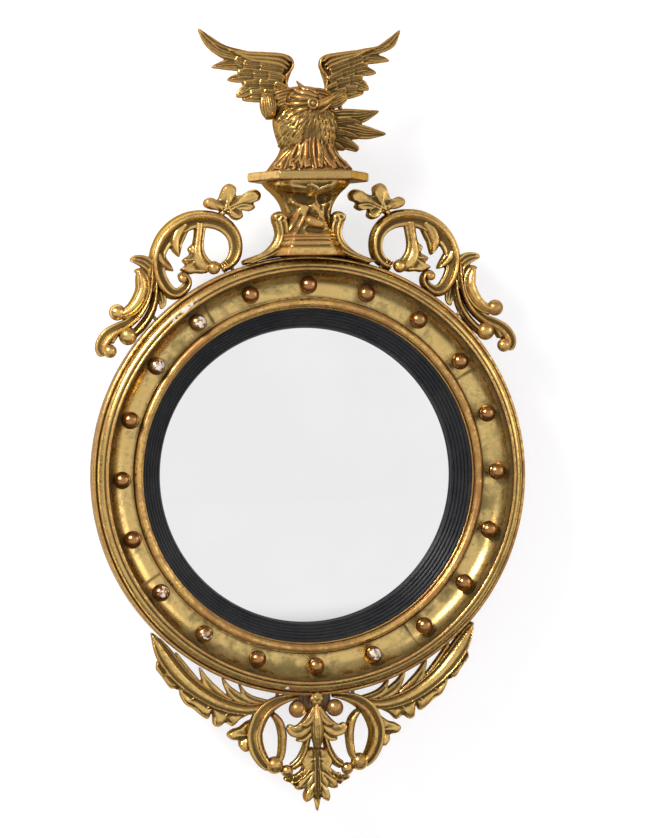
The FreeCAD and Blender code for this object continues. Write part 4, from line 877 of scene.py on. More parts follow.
# ---- turned pieces: one tree turns any profile about the ring's axis ----------------
def turned_tree():
    """Geometry Nodes that turn an ordered profile, drawn as (radius, y), about the Y axis."""
    tree = bpy.data.node_groups.new("Turned moulding", "GeometryNodeTree")
    face = tree.interface
    face.new_socket("Profile", in_out="INPUT", socket_type="NodeSocketGeometry")
    face.new_socket("Profile Points", in_out="INPUT", socket_type="NodeSocketInt")
    face.new_socket("Steps", in_out="INPUT", socket_type="NodeSocketInt")
    face.new_socket("Start Angle", in_out="INPUT", socket_type="NodeSocketFloat")
    face.new_socket("Sweep Angle", in_out="INPUT", socket_type="NodeSocketFloat")
    face.new_socket("Finish", in_out="INPUT", socket_type="NodeSocketMaterial")
    face.new_socket("Moulding", in_out="OUTPUT", socket_type="NodeSocketGeometry")
    nodes, links = tree.nodes, tree.links
    use = nodes.new("NodeGroupInput").outputs
    give = nodes.new("NodeGroupOutput").inputs

    def math_node(kind, a, b):
        node = nodes.new("ShaderNodeMath")
        node.operation = kind
        wire(tree, a, node.inputs[0])
        wire(tree, b, node.inputs[1])
        return node.outputs[0]

    grid = nodes.new("GeometryNodeMeshGrid")
    grid.inputs["Size X"].default_value = 1.0
    grid.inputs["Size Y"].default_value = 1.0
    links.new(math_node("ADD", use["Steps"], 1), grid.inputs["Vertices X"])
    links.new(use["Profile Points"], grid.inputs["Vertices Y"])
    split = nodes.new("ShaderNodeSeparateXYZ")
    links.new(nodes.new("GeometryNodeInputPosition").outputs[0], split.inputs[0])
    share = math_node("ADD", split.outputs["X"], 0.5)
    angle = math_node("ADD", use["Start Angle"], math_node("MULTIPLY", share, use["Sweep Angle"]))
    row = math_node("MULTIPLY", math_node("ADD", split.outputs["Y"], 0.5),
                    math_node("SUBTRACT", use["Profile Points"], 1))
    row = math_node("ROUND", row, 0.0)

    def sampled(kind, source):
        node = nodes.new("GeometryNodeSampleIndex")
        node.data_type = kind
        links.new(use["Profile"], node.inputs["Geometry"])
        links.new(source, node.inputs["Value"])
        links.new(row, node.inputs["Index"])
        return node.outputs["Value"]

    point = nodes.new("ShaderNodeSeparateXYZ")
    links.new(sampled("FLOAT_VECTOR", nodes.new("GeometryNodeInputPosition").outputs[0]), point.inputs[0])
    place = nodes.new("ShaderNodeCombineXYZ")
    links.new(math_node("MULTIPLY", point.outputs["X"], math_node("SINE", angle, 0.0)), place.inputs["X"])
    links.new(point.outputs["Y"], place.inputs["Y"])
    links.new(math_node("MULTIPLY", point.outputs["X"], math_node("COSINE", angle, 0.0)), place.inputs["Z"])
    mark = nodes.new("GeometryNodeInputNamedAttribute")
    mark.data_type = "FLOAT"
    mark.inputs["Name"].default_value = "hollow"
    hollow = sampled("FLOAT", mark.outputs["Attribute"])
    keep = nodes.new("GeometryNodeStoreNamedAttribute")
    keep.data_type = "FLOAT"
    keep.domain = "POINT"
    keep.inputs["Name"].default_value = "hollow"
    links.new(grid.outputs["Mesh"], keep.inputs["Geometry"])
    links.new(hollow, keep.inputs["Value"])
    move = nodes.new("GeometryNodeSetPosition")
    links.new(keep.outputs["Geometry"], move.inputs["Geometry"])
    links.new(place.outputs[0], move.inputs["Position"])
    merge = nodes.new("GeometryNodeMergeByDistance")
    merge.inputs["Distance"].default_value = 0.00001
    links.new(move.outputs["Geometry"], merge.inputs["Geometry"])
    real = nodes.new("GeometryNodeRealizeInstances")
    links.new(merge.outputs["Geometry"], real.inputs["Geometry"])
    finish = nodes.new("GeometryNodeSetMaterial")
    links.new(real.outputs["Geometry"], finish.inputs["Geometry"])
    links.new(use["Finish"], finish.inputs["Material"])
    links.new(finish.outputs["Geometry"], give["Moulding"])
    return tree


def set_inputs(modifier, values):
    names = {s.name: s.identifier for s in modifier.node_group.interface.items_tree if s.in_out == "INPUT"}
    for name, value in values.items():
        modifier[names[name]] = value


def even_points(points, step):
    """Points along straight runs, about the given step apart, with the corners kept."""
    out = []
    for a, b in zip(points, points[1:]):
        a, b = np.array(a, float), np.array(b, float)
        count = max(1, int(round(np.linalg.norm(b - a) / step)))
        out += [a + (b - a) * k / count for k in range(count)]
    out.append(np.array(points[-1], float))
    return np.array(out)


def arc_points(a, m, b, count=12):
    """Points on the circle through three points."""
    a, m, b = (np.array(p, float) for p in (a, m, b))
    d = 2 * (a[0] * (m[1] - b[1]) + m[0] * (b[1] - a[1]) + b[0] * (a[1] - m[1]))
    ux = ((a @ a) * (m[1] - b[1]) + (m @ m) * (b[1] - a[1]) + (b @ b) * (a[1] - m[1])) / d
    uy = ((a @ a) * (b[0] - m[0]) + (m @ m) * (a[0] - b[0]) + (b @ b) * (m[0] - a[0])) / d
    centre = np.array([ux, uy])
    angles = [math.atan2(*(p - centre)[::-1]) for p in (a, m, b)]
    full = 2 * math.pi
    first = (angles[1] - angles[0]) % full
    whole = (angles[2] - angles[0]) % full
    if first > whole:
        whole -= full
    radius = np.linalg.norm(a - centre)
    turn = angles[0] + whole * np.arange(count + 1) / count
    return [tuple(centre + radius * np.array([math.cos(t), math.sin(t)])) for t in turn]


def profile_hollow(points, inside):
    """How deep each profile point lies in a groove, from the profile's own shape."""
    loop = points[:-1]
    smooth = loop.copy()
    for _ in range(14):
        smooth = 0.5 * smooth + 0.25 * (np.roll(smooth, 1, 0) + np.roll(smooth, -1, 0))
    run = np.roll(loop, -1, 0) - np.roll(loop, 1, 0)
    normal = np.stack([run[:, 1], -run[:, 0]], 1)
    normal /= np.maximum(np.linalg.norm(normal, axis=1), 1e-9)[:, None]
    area = np.sum(loop[:, 0] * np.roll(loop[:, 1], -1) - np.roll(loop[:, 0], -1) * loop[:, 1])
    if area < 0:
        normal = -normal
    value = np.clip(((smooth - loop) * normal).sum(1) / inside, -1.0, 1.0)
    return np.append(value, value[0])


def turned_piece(name, profile, material, start=0.0, sweep=360.0, spacing=0.9, inside=0.5):
    """Mesh of a closed profile turned about the axis with the shared tree."""
    carving = bpy.context.scene.mirror_carving
    points = even_points(list(profile) + [profile[0]], spacing)
    mesh = bpy.data.meshes.new(name + " profile")
    verts = [(r * MM, y * MM, 0.0) for r, y in points]
    mesh.from_pydata(verts, [(i, i + 1) for i in range(len(verts) - 1)], [])
    store(mesh, "hollow", profile_hollow(points, inside))
    holder = bpy.data.objects.new(name, mesh)
    bpy.context.scene.collection.objects.link(holder)
    turn = holder.modifiers.new("turn", "NODES")
    turn.node_group = shared_group("turned", turned_tree)
    set_inputs(turn, {
        "Profile Points": len(points), "Steps": max(8, round(carving.ring_steps * sweep / 360.0)),
        "Start Angle": math.radians(start), "Sweep Angle": math.radians(sweep), "Finish": material,
    })
    result = evaluated_copy(holder, name)
    close_ends(result)
    result.set_sharp_from_angle(angle=math.radians(50))
    return result


def close_ends(mesh):
    """Fill open ends, weld seams and turn every face outwards."""
    shape = bmesh.new()
    shape.from_mesh(mesh)
    bmesh.ops.remove_doubles(shape, verts=shape.verts, dist=0.000005)
    open_edges = [edge for edge in shape.edges if edge.is_boundary]
    if open_edges:
        bmesh.ops.holes_fill(shape, edges=open_edges, sides=0)
    bmesh.ops.recalc_face_normals(shape, faces=shape.faces)
    for face in shape.faces:
        face.smooth = True
    shape.to_mesh(mesh)
    shape.free()
    mesh.update()


# ---- profiles of the ring ---------------------------------------------------------
def from_front(points, radius):
    return [(radius + out, FRONT_Y + back) for out, back in points]


def outer_profile():
    r = OUTER_IN
    bead = arc_points(*from_front([(0.0, 1.5), (2.1, 0.0), (4.2, 2.0)], r), 8)
    torus = arc_points(*from_front([(4.9, 4.8), (11.2, 6.6), (14.7, 15.0)], r), 16)
    ridge = arc_points(*from_front([(16.4, 16.0), (18.8, 15.9), (20.7, 19.0)], r), 8)
    tail = from_front([(20.7, 49.0), (16.7, 51.0)], r) + [(r + 16.7, SEAT_Y), (r, SEAT_Y)]
    return bead + torus + from_front([(15.3, 18.0)], r) + ridge + tail


def cove_profile():
    centre = (COVE_OUT - COVE_RADIUS, FRONT_Y + COVE_CENTRE_DEPTH)
    drop = math.sqrt(COVE_RADIUS ** 2 - (centre[0] - COVE_IN) ** 2)
    half = COVE_RADIUS * math.sqrt(0.5)
    start, end = (COVE_OUT, centre[1]), (COVE_IN, centre[1] + drop)
    seat = [(COVE_IN, SEAT_Y), (COVE_OUT, SEAT_Y)]
    return arc_points(start, (centre[0] + half, centre[1] + half), end, 40) + seat


def inner_profile():
    r = INNER_IN
    fillet = arc_points(*from_front([(0.0, 36.5), (1.3, 35.2), (2.5, 36.5)], r), 6)
    bead = arc_points(*from_front([(2.7, 31.0), (7.4, 23.0), (12.1, 31.0)], r), 20)
    tail = from_front([(12.4, 40.0), (15.0, 40.0)], r) + [(INNER_OUT, SEAT_Y), (r, SEAT_Y)]
    return fillet + bead + tail


def glass_front(radius, offset=0.0):
    sphere = (GLASS_RADIUS ** 2 + GLASS_RISE ** 2) / (2 * GLASS_RISE)
    return GLASS_APEX_Y + sphere - math.sqrt((sphere + offset) ** 2 - radius ** 2)


def slip_profile():
    outer = np.array([SLIP_OUT, FRONT_Y + 37.5])
    inner = np.array([SIGHT_RADIUS, FRONT_Y + 60.0])
    step = (inner - outer) / REED_COUNT
    points = []
    for k in range(REED_COUNT):
        a, b = outer + k * step, outer + (k + 1) * step
        crown = (a + b) / 2 + 0.25 * np.array([-step[1], step[0]])
        points += arc_points(tuple(a), tuple(crown), tuple(b), 8)[:-1]
    rim_y = glass_front(GLASS_RADIUS, PIECE_GAP)
    foot = GLASS_RADIUS + 3.0 - PIECE_GAP
    points += [tuple(inner), (SIGHT_RADIUS, glass_front(SIGHT_RADIUS, PIECE_GAP)), (GLASS_RADIUS, rim_y)]
    return points + [(foot, rim_y), (foot, SEAT_Y), (SLIP_OUT, SEAT_Y)]


def glass_profile():
    radii = [GLASS_RADIUS * k / 60.0 for k in range(61)]
    front = [(max(r, 0.001), glass_front(r)) for r in radii]
    return front + [(r, y + GLASS_THICKNESS) for r, y in reversed(front)]


def ball_depth():
    reach = COVE_RADIUS - PIECE_GAP - BALL_RADIUS
    across = BALL_RING - (COVE_OUT - COVE_RADIUS)
    return FRONT_Y + COVE_CENTRE_DEPTH + math.sqrt(reach ** 2 - across ** 2)


def ball_centres():
    y = ball_depth()
    turns = [2 * math.pi * k / BALL_COUNT for k in range(BALL_COUNT)]
    return np.array([(BALL_RING * math.sin(t), y, BALL_RING * math.cos(t)) for t in turns]) * MM


def balls_tree():
    """Geometry Nodes that set turned balls evenly round a circle, each a little irregular."""
    tree = bpy.data.node_groups.new("Balls round the ring", "GeometryNodeTree")
    face = tree.interface
    face.new_socket("Geometry", in_out="INPUT", socket_type="NodeSocketGeometry")
    face.new_socket("Count", in_out="INPUT", socket_type="NodeSocketInt")
    face.new_socket("Ring Radius", in_out="INPUT", socket_type="NodeSocketFloat")
    face.new_socket("Ball Radius", in_out="INPUT", socket_type="NodeSocketFloat")
    face.new_socket("Depth", in_out="INPUT", socket_type="NodeSocketFloat")
    face.new_socket("Seed", in_out="INPUT", socket_type="NodeSocketInt")
    face.new_socket("Finish", in_out="INPUT", socket_type="NodeSocketMaterial")
    face.new_socket("Balls", in_out="OUTPUT", socket_type="NodeSocketGeometry")
    nodes, links = tree.nodes, tree.links
    use = nodes.new("NodeGroupInput").outputs
    give = nodes.new("NodeGroupOutput").inputs
    ring = nodes.new("GeometryNodeMeshCircle")
    links.new(use["Count"], ring.inputs["Vertices"])
    links.new(use["Ring Radius"], ring.inputs["Radius"])
    lay = nodes.new("GeometryNodeTransform")
    lay.inputs["Rotation"].default_value = (math.pi / 2, 0.0, 0.0)
    shift = nodes.new("ShaderNodeCombineXYZ")
    links.new(use["Depth"], shift.inputs["Y"])
    links.new(ring.outputs["Mesh"], lay.inputs["Geometry"])
    links.new(shift.outputs[0], lay.inputs["Translation"])
    sphere = nodes.new("GeometryNodeMeshUVSphere")
    sphere.inputs["Segments"].default_value = 40
    sphere.inputs["Rings"].default_value = 26
    links.new(use["Ball Radius"], sphere.inputs["Radius"])
    uneven = nodes.new("FunctionNodeRandomValue")
    uneven.data_type = "FLOAT_VECTOR"
    uneven.inputs["Min"].default_value = (0.965, 0.965, 0.965)
    uneven.inputs["Max"].default_value = (1.0, 1.0, 1.0)
    links.new(use["Seed"], uneven.inputs["Seed"])
    spread = nodes.new("GeometryNodeInstanceOnPoints")
    links.new(lay.outputs["Geometry"], spread.inputs["Points"])
    links.new(sphere.outputs["Mesh"], spread.inputs["Instance"])
    links.new(uneven.outputs[0], spread.inputs["Scale"])
    real = nodes.new("GeometryNodeRealizeInstances")
    links.new(spread.outputs["Instances"], real.inputs["Geometry"])
    finish = nodes.new("GeometryNodeSetMaterial")
    links.new(real.outputs["Geometry"], finish.inputs["Geometry"])
    links.new(use["Finish"], finish.inputs["Material"])
    links.new(finish.outputs["Geometry"], give["Balls"])
    return tree


# ---- carved lines, left half: x, z, half width and sometimes a lift forward -------------
SCROLL_LINE = [
    (-177, 271, 4.0), (-171, 274.5, 6.0), (-165.5, 270, 6.5), (-165, 262, 6.5), (-171, 255, 7.0),
    (-180, 250.5, 8.0), (-191, 254.5, 9.5), (-202, 271, 10.5), (-206, 290, 11.0), (-203, 308, 11.5),
    (-194, 325, 12.5), (-180, 339, 13.0), (-162, 348.5, 13.0), (-143, 351.5, 12.5), (-124, 349, 12.0),
    (-109, 340.5, 11.0), (-99.5, 327.5, 10.0), (-97, 312, 9.5), (-100, 299, 9.0), (-108, 290, 7.5),
    (-116, 286, 7.0),
]
SCROLL_SPURS = [
    [(-166, 344, 9.0), (-174, 334, 11.5), (-179, 322, 11.0), (-178, 311, 7.5), (-175, 300, 0.8)],
    [(-204, 306, 8.0), (-198, 295, 8.0), (-190, 287, 5.5), (-183, 281, 0.8)],
]
SCROLL_COLLAR = [(-117.0, 285.0), (-113.5, 286.5), (-110.0, 288.5)]
BRANCH_LINE = [
    (-145, 346, 9.0), (-147, 330, 8.0), (-149, 316, 8.5), (-149, 302, 11.0), (-143, 291, 11.5),
    (-132, 285, 9.0),
]
FRILL_FOOT = (-149, 297)
FRILL_OUTLINE = [
    (-152, 320, 0.0), (-163, 312, 0.8), (-161, 304, 0.0), (-171, 296, 1.0), (-167, 289, 0.1),
    (-174, 283, 1.0), (-162, 277, 0.6), (-153, 278, 0.2), (-141, 278, 0.7), (-133, 287, 0.2),
    (-140, 300, 0.0), (-146, 312, 0.0),
]
OAK_FOOT = (-107, 366)
OAK_OUTLINE = [
    (-139, 370, 1.0), (-139, 377, 1.0), (-131, 381, 0.6), (-121, 378, 0.0), (-116, 388, 0.5),
    (-112, 396, 0.9), (-104, 399.5, 1.0), (-95, 394, 0.7), (-95, 384, 0.0), (-86, 385, 0.2), (-77, 390, 0.7),
    (-67, 391, 1.0), (-61, 385, 1.0), (-63, 377, 0.6), (-71, 373, 0.2), (-69, 367, 0.7), (-77, 362, 0.6),
    (-87, 364, 0.0), (-86, 355, 0.8), (-93, 350, 1.0), (-101, 352, 0.6), (-107, 358, 0.1), (-118, 363, 0.2),
    (-131, 365, 0.6),
]
OAK_STALK = [(-128, 347, 4.0), (-120, 355, 4.5), (-111, 362, 4.0)]
OAK_VEINS = [
    [(-112, 362, 1.8), (-124, 369, 1.4), (-137, 374, 0.6)],
    [(-112, 362, 1.8), (-108, 378, 1.5), (-104, 396, 0.6)],
    [(-112, 362, 1.9), (-96, 373, 1.6), (-80, 382, 1.3), (-64, 387, 0.6)],
    [(-104, 364, 1.4), (-88, 370, 1.2), (-72, 370, 0.6)],
    [(-108, 361, 1.3), (-92, 353, 0.6)],
]
OUTER_SCROLL_LINES = [
    [(-243, 297, 2.5), (-234, 297, 6.5), (-222, 293, 9.0), (-213, 283, 8.5), (-212, 268, 7.5),
     (-216, 254, 5.0)],
    [(-238, 282, 1.5), (-231, 280, 6.0), (-227, 270, 9.5), (-226, 257, 10.5), (-231, 243, 10.5),
     (-240, 231, 9.5), (-251, 224, 8.0), (-258, 223, 6.0)],
]
TENDRIL_LINES = [
    [(-214, 292, 2.0), (-215, 275, 4.0), (-217, 258, 5.0), (-222, 240, 5.5), (-232, 224, 6.5),
     (-247, 211, 7.5), (-262, 203, 9.0), (-274, 195, 10.0), (-282, 184, 9.5), (-283, 175, 8.5),
     (-279, 168, 6.0)],
    [(-217, 252, 2.0), (-224, 234, 3.0), (-236, 219, 3.0), (-250, 208, 3.5), (-263, 196, 4.0),
     (-270, 184, 3.0)],
]
STEM_LINES = [
    [(-208, 266, 3.0), (-209, 248, 5.0), (-213, 231, 6.0), (-221, 216, 6.5), (-231, 204, 6.5),
     (-244, 192, 6.0)],
    [(-203, 258, 5.0), (-200, 246, 6.5), (-199, 237, 5.0), (-202, 230, 2.0)],
]
BRACKET_OUTER = [
    (-42, 355, 2), (-50, 349, 1), (-47, 338, 0), (-46, 327, 0), (-52, 315, 0), (-66, 303, 0), (-93, 291, 0),
]
BRACKET_INNER = [
    (-32, 352, 0), (-27, 337, -1), (-27, 323, -2), (-32, 310, -2), (-48, 300, -2), (-78, 289, -2),
]
BRACKET_FLUTES = 2.5
BRACKET_CURL = [(-37, 343, 3.0), (-34, 350, 4.5), (-40, 355, 5.0), (-47, 352, 4.5), (-47, 346, 3.0)]
CREST_BALLS = [
    (-262, 226, 11.2, TENDRIL_FRONT), (-273, 174, 9.3, TENDRIL_FRONT), (-248, 194, 12.5, TENDRIL_FRONT),
    (-129, 285, 9.3, SCROLL_FRONT), (-172, 271, 6.5, SCROLL_FRONT),
]

LOOP_LINES = [
    [(-22, -301, 3.0), (-39, -303, 6.0), (-56, -309, 8.5), (-70, -319, 10.5), (-80, -334, 11.5),
     (-85, -352, 11.5), (-82, -371, 11.0), (-74, -387, 9.5), (-64, -397, 7.0)],
    [(-60, -323, 4.0), (-51, -335, 6.0), (-47, -350, 6.5), (-47, -365, 6.0), (-49, -380, 5.5),
     (-54, -391, 4.5)],
]
LYRE_LINES = [
    [(-8, -350, 3.5), (-13, -362, 5.0), (-17, -376, 6.0), (-25, -390, 6.5), (-36, -398, 6.0)],
]
LINK_LINES = [
    [(-46, -413, 2.0), (-34, -415, 4.5), (-22, -409, 5.0), (-11, -398, 4.0)],
    [(-30, -408, 3.0), (-33, -416, 3.5), (-31, -424, 1.0)],
    [(-20, -408, 3.0), (-24, -418, 3.5), (-28, -427, 1.0)],
]
PETAL_LINES = [
    [(-4, -318, 5.0, 0), (-11, -334, 8.5, 2), (-22, -346, 9.5, 4), (-33, -347, 8.0, 4), (-40, -339, 4.0, 2)],
    [(-4, -332, 5.0, 0), (-10, -347, 7.0, 1), (-19, -357, 6.0, 2), (-29, -361, 1.5, 1)],
    [(-2, -316, 4.0, 3), (-8, -328, 5.5, 5), (-16, -337, 4.5, 6), (-24, -337, 1.5, 5)],
]
SIDE_LEAF_FOOT = (-90, -352)
SIDE_LEAF_OUTLINE = [
    (-84, -332, 0.0), (-94, -334, 0.3), (-104, -341, 0.7), (-114, -344, 0.8), (-121, -350, 1.0),
    (-117, -357, 0.8), (-106, -360, 0.0), (-105, -367, 0.8), (-98, -375, 1.0), (-89, -372, 0.5),
    (-80, -362, 0.0), (-78, -345, 0.0),
]
APRON_BALLS = [
    (-26, -318, 12.0, LOOP_FRONT), (-59, -393, 12.0, LOOP_FRONT), (-42, -402, 8.5, LOOP_FRONT + 4),
]
ACANTHUS_LINES = [
    [(-72, -314, 7.0, 2), (-92, -316, 8.0, 2), (-112, -313, 9.0, 2), (-134, -305, 10.0, 2),
     (-156, -292, 11.0, 2), (-176, -276, 12.0, 2), (-193, -257, 13.0, 3), (-206, -238, 12.0, 5),
     (-215, -222, 8.0, 6), (-223, -208, 1.5, 4)],
]
ACANTHUS_RIB = [
    (-216, -246), (-206, -259), (-192, -272), (-176, -284), (-156, -295), (-128, -307), (-105, -313),
    (-80, -316),
]
ACANTHUS_EDGE = [
    (-217, -258, 2), (-206, -273, 0), (-198, -284, 2), (-187, -285, -3), (-185, -295, 1), (-178, -307, 3),
    (-168, -313, 0), (-158, -322, 3), (-148, -328, 1), (-142, -320, -4), (-140, -336, 2), (-132, -339, 3),
    (-124, -334, -2), (-114, -339, 3), (-105, -331, -1), (-90, -323, 0),
]
ACANTHUS_VEINS = [
    [(-156, -294, 1.2, 0), (-176, -289, 1.3, 1), (-193, -284, 0.6, 2)],
    [(-150, -298, 1.2, 0), (-166, -298, 1.3, 1), (-180, -301, 0.6, 2)],
    [(-134, -307, 1.2, 0), (-148, -311, 1.3, 1), (-158, -319, 0.6, 2)],
    [(-174, -276, 1.2, 0), (-196, -268, 1.3, 2), (-214, -261, 0.6, 3)],
    [(-108, -315, 1.2, 0), (-122, -321, 1.3, 1), (-132, -333, 0.6, 2)],
]
ACANTHUS_FLUTES = 1.5
INNER_LEAF_LINES = [
    [(-148, -294, 5.0), (-168, -275, 8.5), (-181, -256, 7.0), (-190, -235, 1.0)],
    [(-120, -304, 5.0), (-138, -291, 8.0), (-150, -275, 5.5), (-158, -257, 1.0)],
    [(-90, -309, 4.5), (-109, -298, 7.0), (-120, -286, 4.5), (-127, -272, 1.0)],
    [(-64, -309, 4.0), (-84, -304, 5.0), (-96, -296, 4.0), (-104, -282, 1.0)],
]
PENDANT_LEAVES = [
    ((-3, -386), [(-2, -374, 0.0), (-12, -374, 0.8), (-20, -381, 0.9), (-23, -391, 1.0), (-19, -400, 1.0),
                  (-13, -398, 0.4), (-6, -396, 0.0)]),
    ((-3, -402), [(-2, -390, 0.0), (-13, -395, 0.6), (-22, -404, 0.8), (-21, -412, 0.5), (-28, -419, 0.9),
                  (-29, -428, 1.0), (-21, -429, 0.6), (-14, -424, 0.1), (-4, -414, 0.0)]),
    ((-2, -416), [(-1, -400, 0.0), (-9, -410, 0.5), (-16, -421, 0.7), (-15, -428, 0.5), (-18, -437, 0.9),
                  (-16, -446, 1.0), (-9, -443, 0.6), (-4, -436, 0.1), (0, -430, 0.0)]),
]
PENDANT_MIDDLE = [(0, -374, 4.0, 3), (0, -392, 7.0, 5), (0, -415, 7.5, 6), (0, -438, 5.5, 5),
                  (0, -459, 1.2, 2)]
HUSK_LEVELS = [
    (-310.0, 2.5), (-318.0, 4.5), (-330.0, 8.0), (-342.0, 9.8), (-354.0, 9.4), (-364.0, 7.2), (-372.0, 4.0),
    (-378.0, 1.5),
]


# ---- carved pieces ------------------------------------------------------------------
def lay(lines, section, front, back, **ends):
    return [stroke(line, section, front, back, **ends) for line in lines]


def knobs(places):
    return [ball(x, front + 0.92 * radius, z, radius) for x, z, radius, front in places]


def both_sides(name, shells, nodes, material, grain=None):
    """Carve the left piece and its mirror image, one piece for each of two nodes."""
    size = grain or bpy.context.scene.mirror_carving.grain
    left = carve(name + "_left", shells, size)
    link_piece(name + "_left", left, material, [nodes[0]])
    link_piece(name + "_right", mirrored(left, name + "_right"), material, [nodes[1]])


def pair_piece(name, shells, node, material, grain=None):
    """Carve the left half of a node and add its mirror image to the same piece."""
    size = grain or bpy.context.scene.mirror_carving.grain
    left = carve(name + " half", shells, size)
    link_piece(name, joined(name, [left, mirrored(left, name + " other half")]), material, [node])


def single_piece(name, shells, node, material, grain=None):
    size = grain or bpy.context.scene.mirror_carving.grain
    link_piece(name, carve(name, shells, size), material, [node])


def scroll_shells():
    shells = [stroke(SCROLL_LINE, SCROLL, SCROLL_FRONT, SCROLL_BACK, start=4, end=2, thin=0.3)]
    shells += lay(SCROLL_SPURS, OUTER_BAND, SCROLL_FRONT + 4, SCROLL_BACK + 2, end=3, thin=0.25)
    middle = (SCROLL_FRONT + SCROLL_BACK) / 2
    for x, z in SCROLL_COLLAR:
        shells.append(ball(x, middle, z, 8.2, (0.17, 1.2, 1.0), math.radians(-28)))
    return shells


def branch_shells():
    shells = lay([BRANCH_LINE], OUTER_BAND, BRANCH_FRONT, BRANCH_BACK, end=3, thin=0.1)
    shells.append(leaf(FRILL_FOOT, FRILL_OUTLINE, BRANCH_FRONT + 3, BRANCH_BACK + 1, 2.0))
    return shells


def oak_shells():
    shells = [leaf(OAK_FOOT, OAK_OUTLINE, OAK_FRONT + 1, OAK_BACK, 2.6, 2.0)]
    shells.append(stroke(OAK_STALK, ROUND, OAK_FRONT + 3, OAK_BACK, start=2, end=2))
    return shells + lay(OAK_VEINS, ROUND, OAK_FRONT + 0.5, OAK_BACK + 3, thin=0.1)


def outer_scroll_shells():
    leaf, scroll = OUTER_SCROLL_LINES
    return [stroke(leaf, DISHED, TENDRIL_FRONT + 6, TENDRIL_BACK, start=2),
            stroke(scroll, OUTER_BAND, TENDRIL_FRONT, TENDRIL_BACK, start=5, end=3)]


def tendril_shells():
    wide, narrow = TENDRIL_LINES
    return [stroke(wide, SCROLL, TENDRIL_FRONT + 2, TENDRIL_BACK, start=3, end=4),
            stroke(narrow, ROUND, TENDRIL_FRONT + 5, TENDRIL_BACK, start=2, end=2)]


def stem_shells():
    stem, leaf = STEM_LINES
    return [stroke(stem, LOOP_BAND, TENDRIL_FRONT + 5, TENDRIL_BACK, start=2, end=3),
            stroke(leaf, DISHED, TENDRIL_FRONT + 16, TENDRIL_BACK, end=2)]


def bracket_shells():
    shells = [web(BRACKET_OUTER, BRACKET_INNER, BRACKET_FRONT + 3, BRACKET_BACK, BRACKET_FLUTES, 1.6, 1.5)]
    shells.append(stroke(BRACKET_CURL, ROUND, BRACKET_FRONT - 1, BRACKET_BACK, start=2, end=2))
    shells.append(ball(-43, BRACKET_FRONT + 6, 348.5, 5.0))
    return shells


def loop_shells():
    outer, inner = LOOP_LINES
    return [stroke(outer, SCROLL, LOOP_FRONT, LOOP_BACK, start=3, end=3),
            stroke(inner, ROUND, LOOP_FRONT + 3, LOOP_BACK, start=3, end=2)]


def acanthus_shells():
    shells = lay(ACANTHUS_LINES, SPRAY, ACANTHUS_FRONT, ACANTHUS_BACK, start=3, thin=0.2)
    shells.append(web(ACANTHUS_RIB, ACANTHUS_EDGE, ACANTHUS_FRONT + 6, ACANTHUS_BACK, ACANTHUS_FLUTES,
                      0.8, 2.0))
    return shells + lay(ACANTHUS_VEINS, ROUND, ACANTHUS_FRONT + 2.5, ACANTHUS_BACK + 4)


def husk_shells():
    """Fluted seed pod."""
    middle = (SPINE_FRONT + SPINE_BACK) / 2 - 4
    rings = []
    flutes = 14
    for z, radius in HUSK_LEVELS:
        turn = np.linspace(0, 2 * math.pi, 112, endpoint=False)
        reach = radius * (1 - 0.12 * np.abs(np.sin(turn * flutes / 2)) ** 0.6)
        rings.append(np.stack([reach * np.sin(turn), middle - 1.15 * reach * np.cos(turn),
                               np.full(112, z)], 1))
    return [loft(dense_rings(rings, 5))]


def dense_rings(rings, steps):
    """More rings on a smooth curve through the given ones."""
    rows = np.array(rings)
    rows = np.concatenate([[2 * rows[0] - rows[1]], rows, [2 * rows[-1] - rows[-2]]])
    out = []
    for i in range(1, len(rows) - 2):
        p0, p1, p2, p3 = rows[i - 1], rows[i], rows[i + 1], rows[i + 2]
        for k in range(steps):
            t = k / steps
            out.append(0.5 * (2 * p1 + (p2 - p0) * t + (2 * p0 - 5 * p1 + 4 * p2 - p3) * t * t
                              + (3 * p1 - p0 - 3 * p2 + p3) * t ** 3))
    out.append(rows[-2])
    return out


def rosette_shells():
    y = SPINE_FRONT + 4
    shells = [ball(0, y, -303, 4.2, (1.0, 1.1, 1.0))]
    for k in range(7):
        turn = 2 * math.pi * k / 7
        shells.append(ball(6.2 * math.sin(turn), y + 2, -303 + 6.2 * math.cos(turn), 3.9, (1.0, 1.2, 1.0)))
    shells.append(ball(0, y + 8, -303, 9.0, (1.0, 0.8, 1.0)))
    return shells


def pendant_shells():
    left = [leaf(foot, outline, PENDANT_FRONT + 4 - 1.5 * k, PENDANT_BACK, 2.2)
            for k, (foot, outline) in enumerate(PENDANT_LEAVES)]
    middle = stroke(PENDANT_MIDDLE, RIBBED, PENDANT_FRONT + 2, PENDANT_BACK, end=2)
    return left + [flip_x(shell) for shell in left] + [middle]


def spine_shells():
    line = [(0, -304, 4.5), (0, -325, 6.0), (0, -350, 6.0), (0, -374, 4.0)]
    return [stroke(line, ROUND, SPINE_FRONT + 8, SPINE_BACK, start=2, end=2)]


# ---- plinth -------------------------------------------------------------------------
def octagon(half, front, back, z, corner=0.42, rake=1.3, rear=4.0):
    """Points round an eight-sided plan, evenly spaced along its sides."""
    cut = half * corner
    side = front + cut * rake
    points = [(-half + cut, front), (half - cut, front), (half, side), (half, back - rear),
              (half - rear, back), (-half + rear, back), (-half, back - rear), (-half, side),
              (-half + cut, front)]
    out = []
    for (ax, ay), (bx, by) in zip(points, points[1:]):
        out += [(ax + (bx - ax) * k / 36.0, ay + (by - ay) * k / 36.0, z) for k in range(36)]
    return np.array(out)


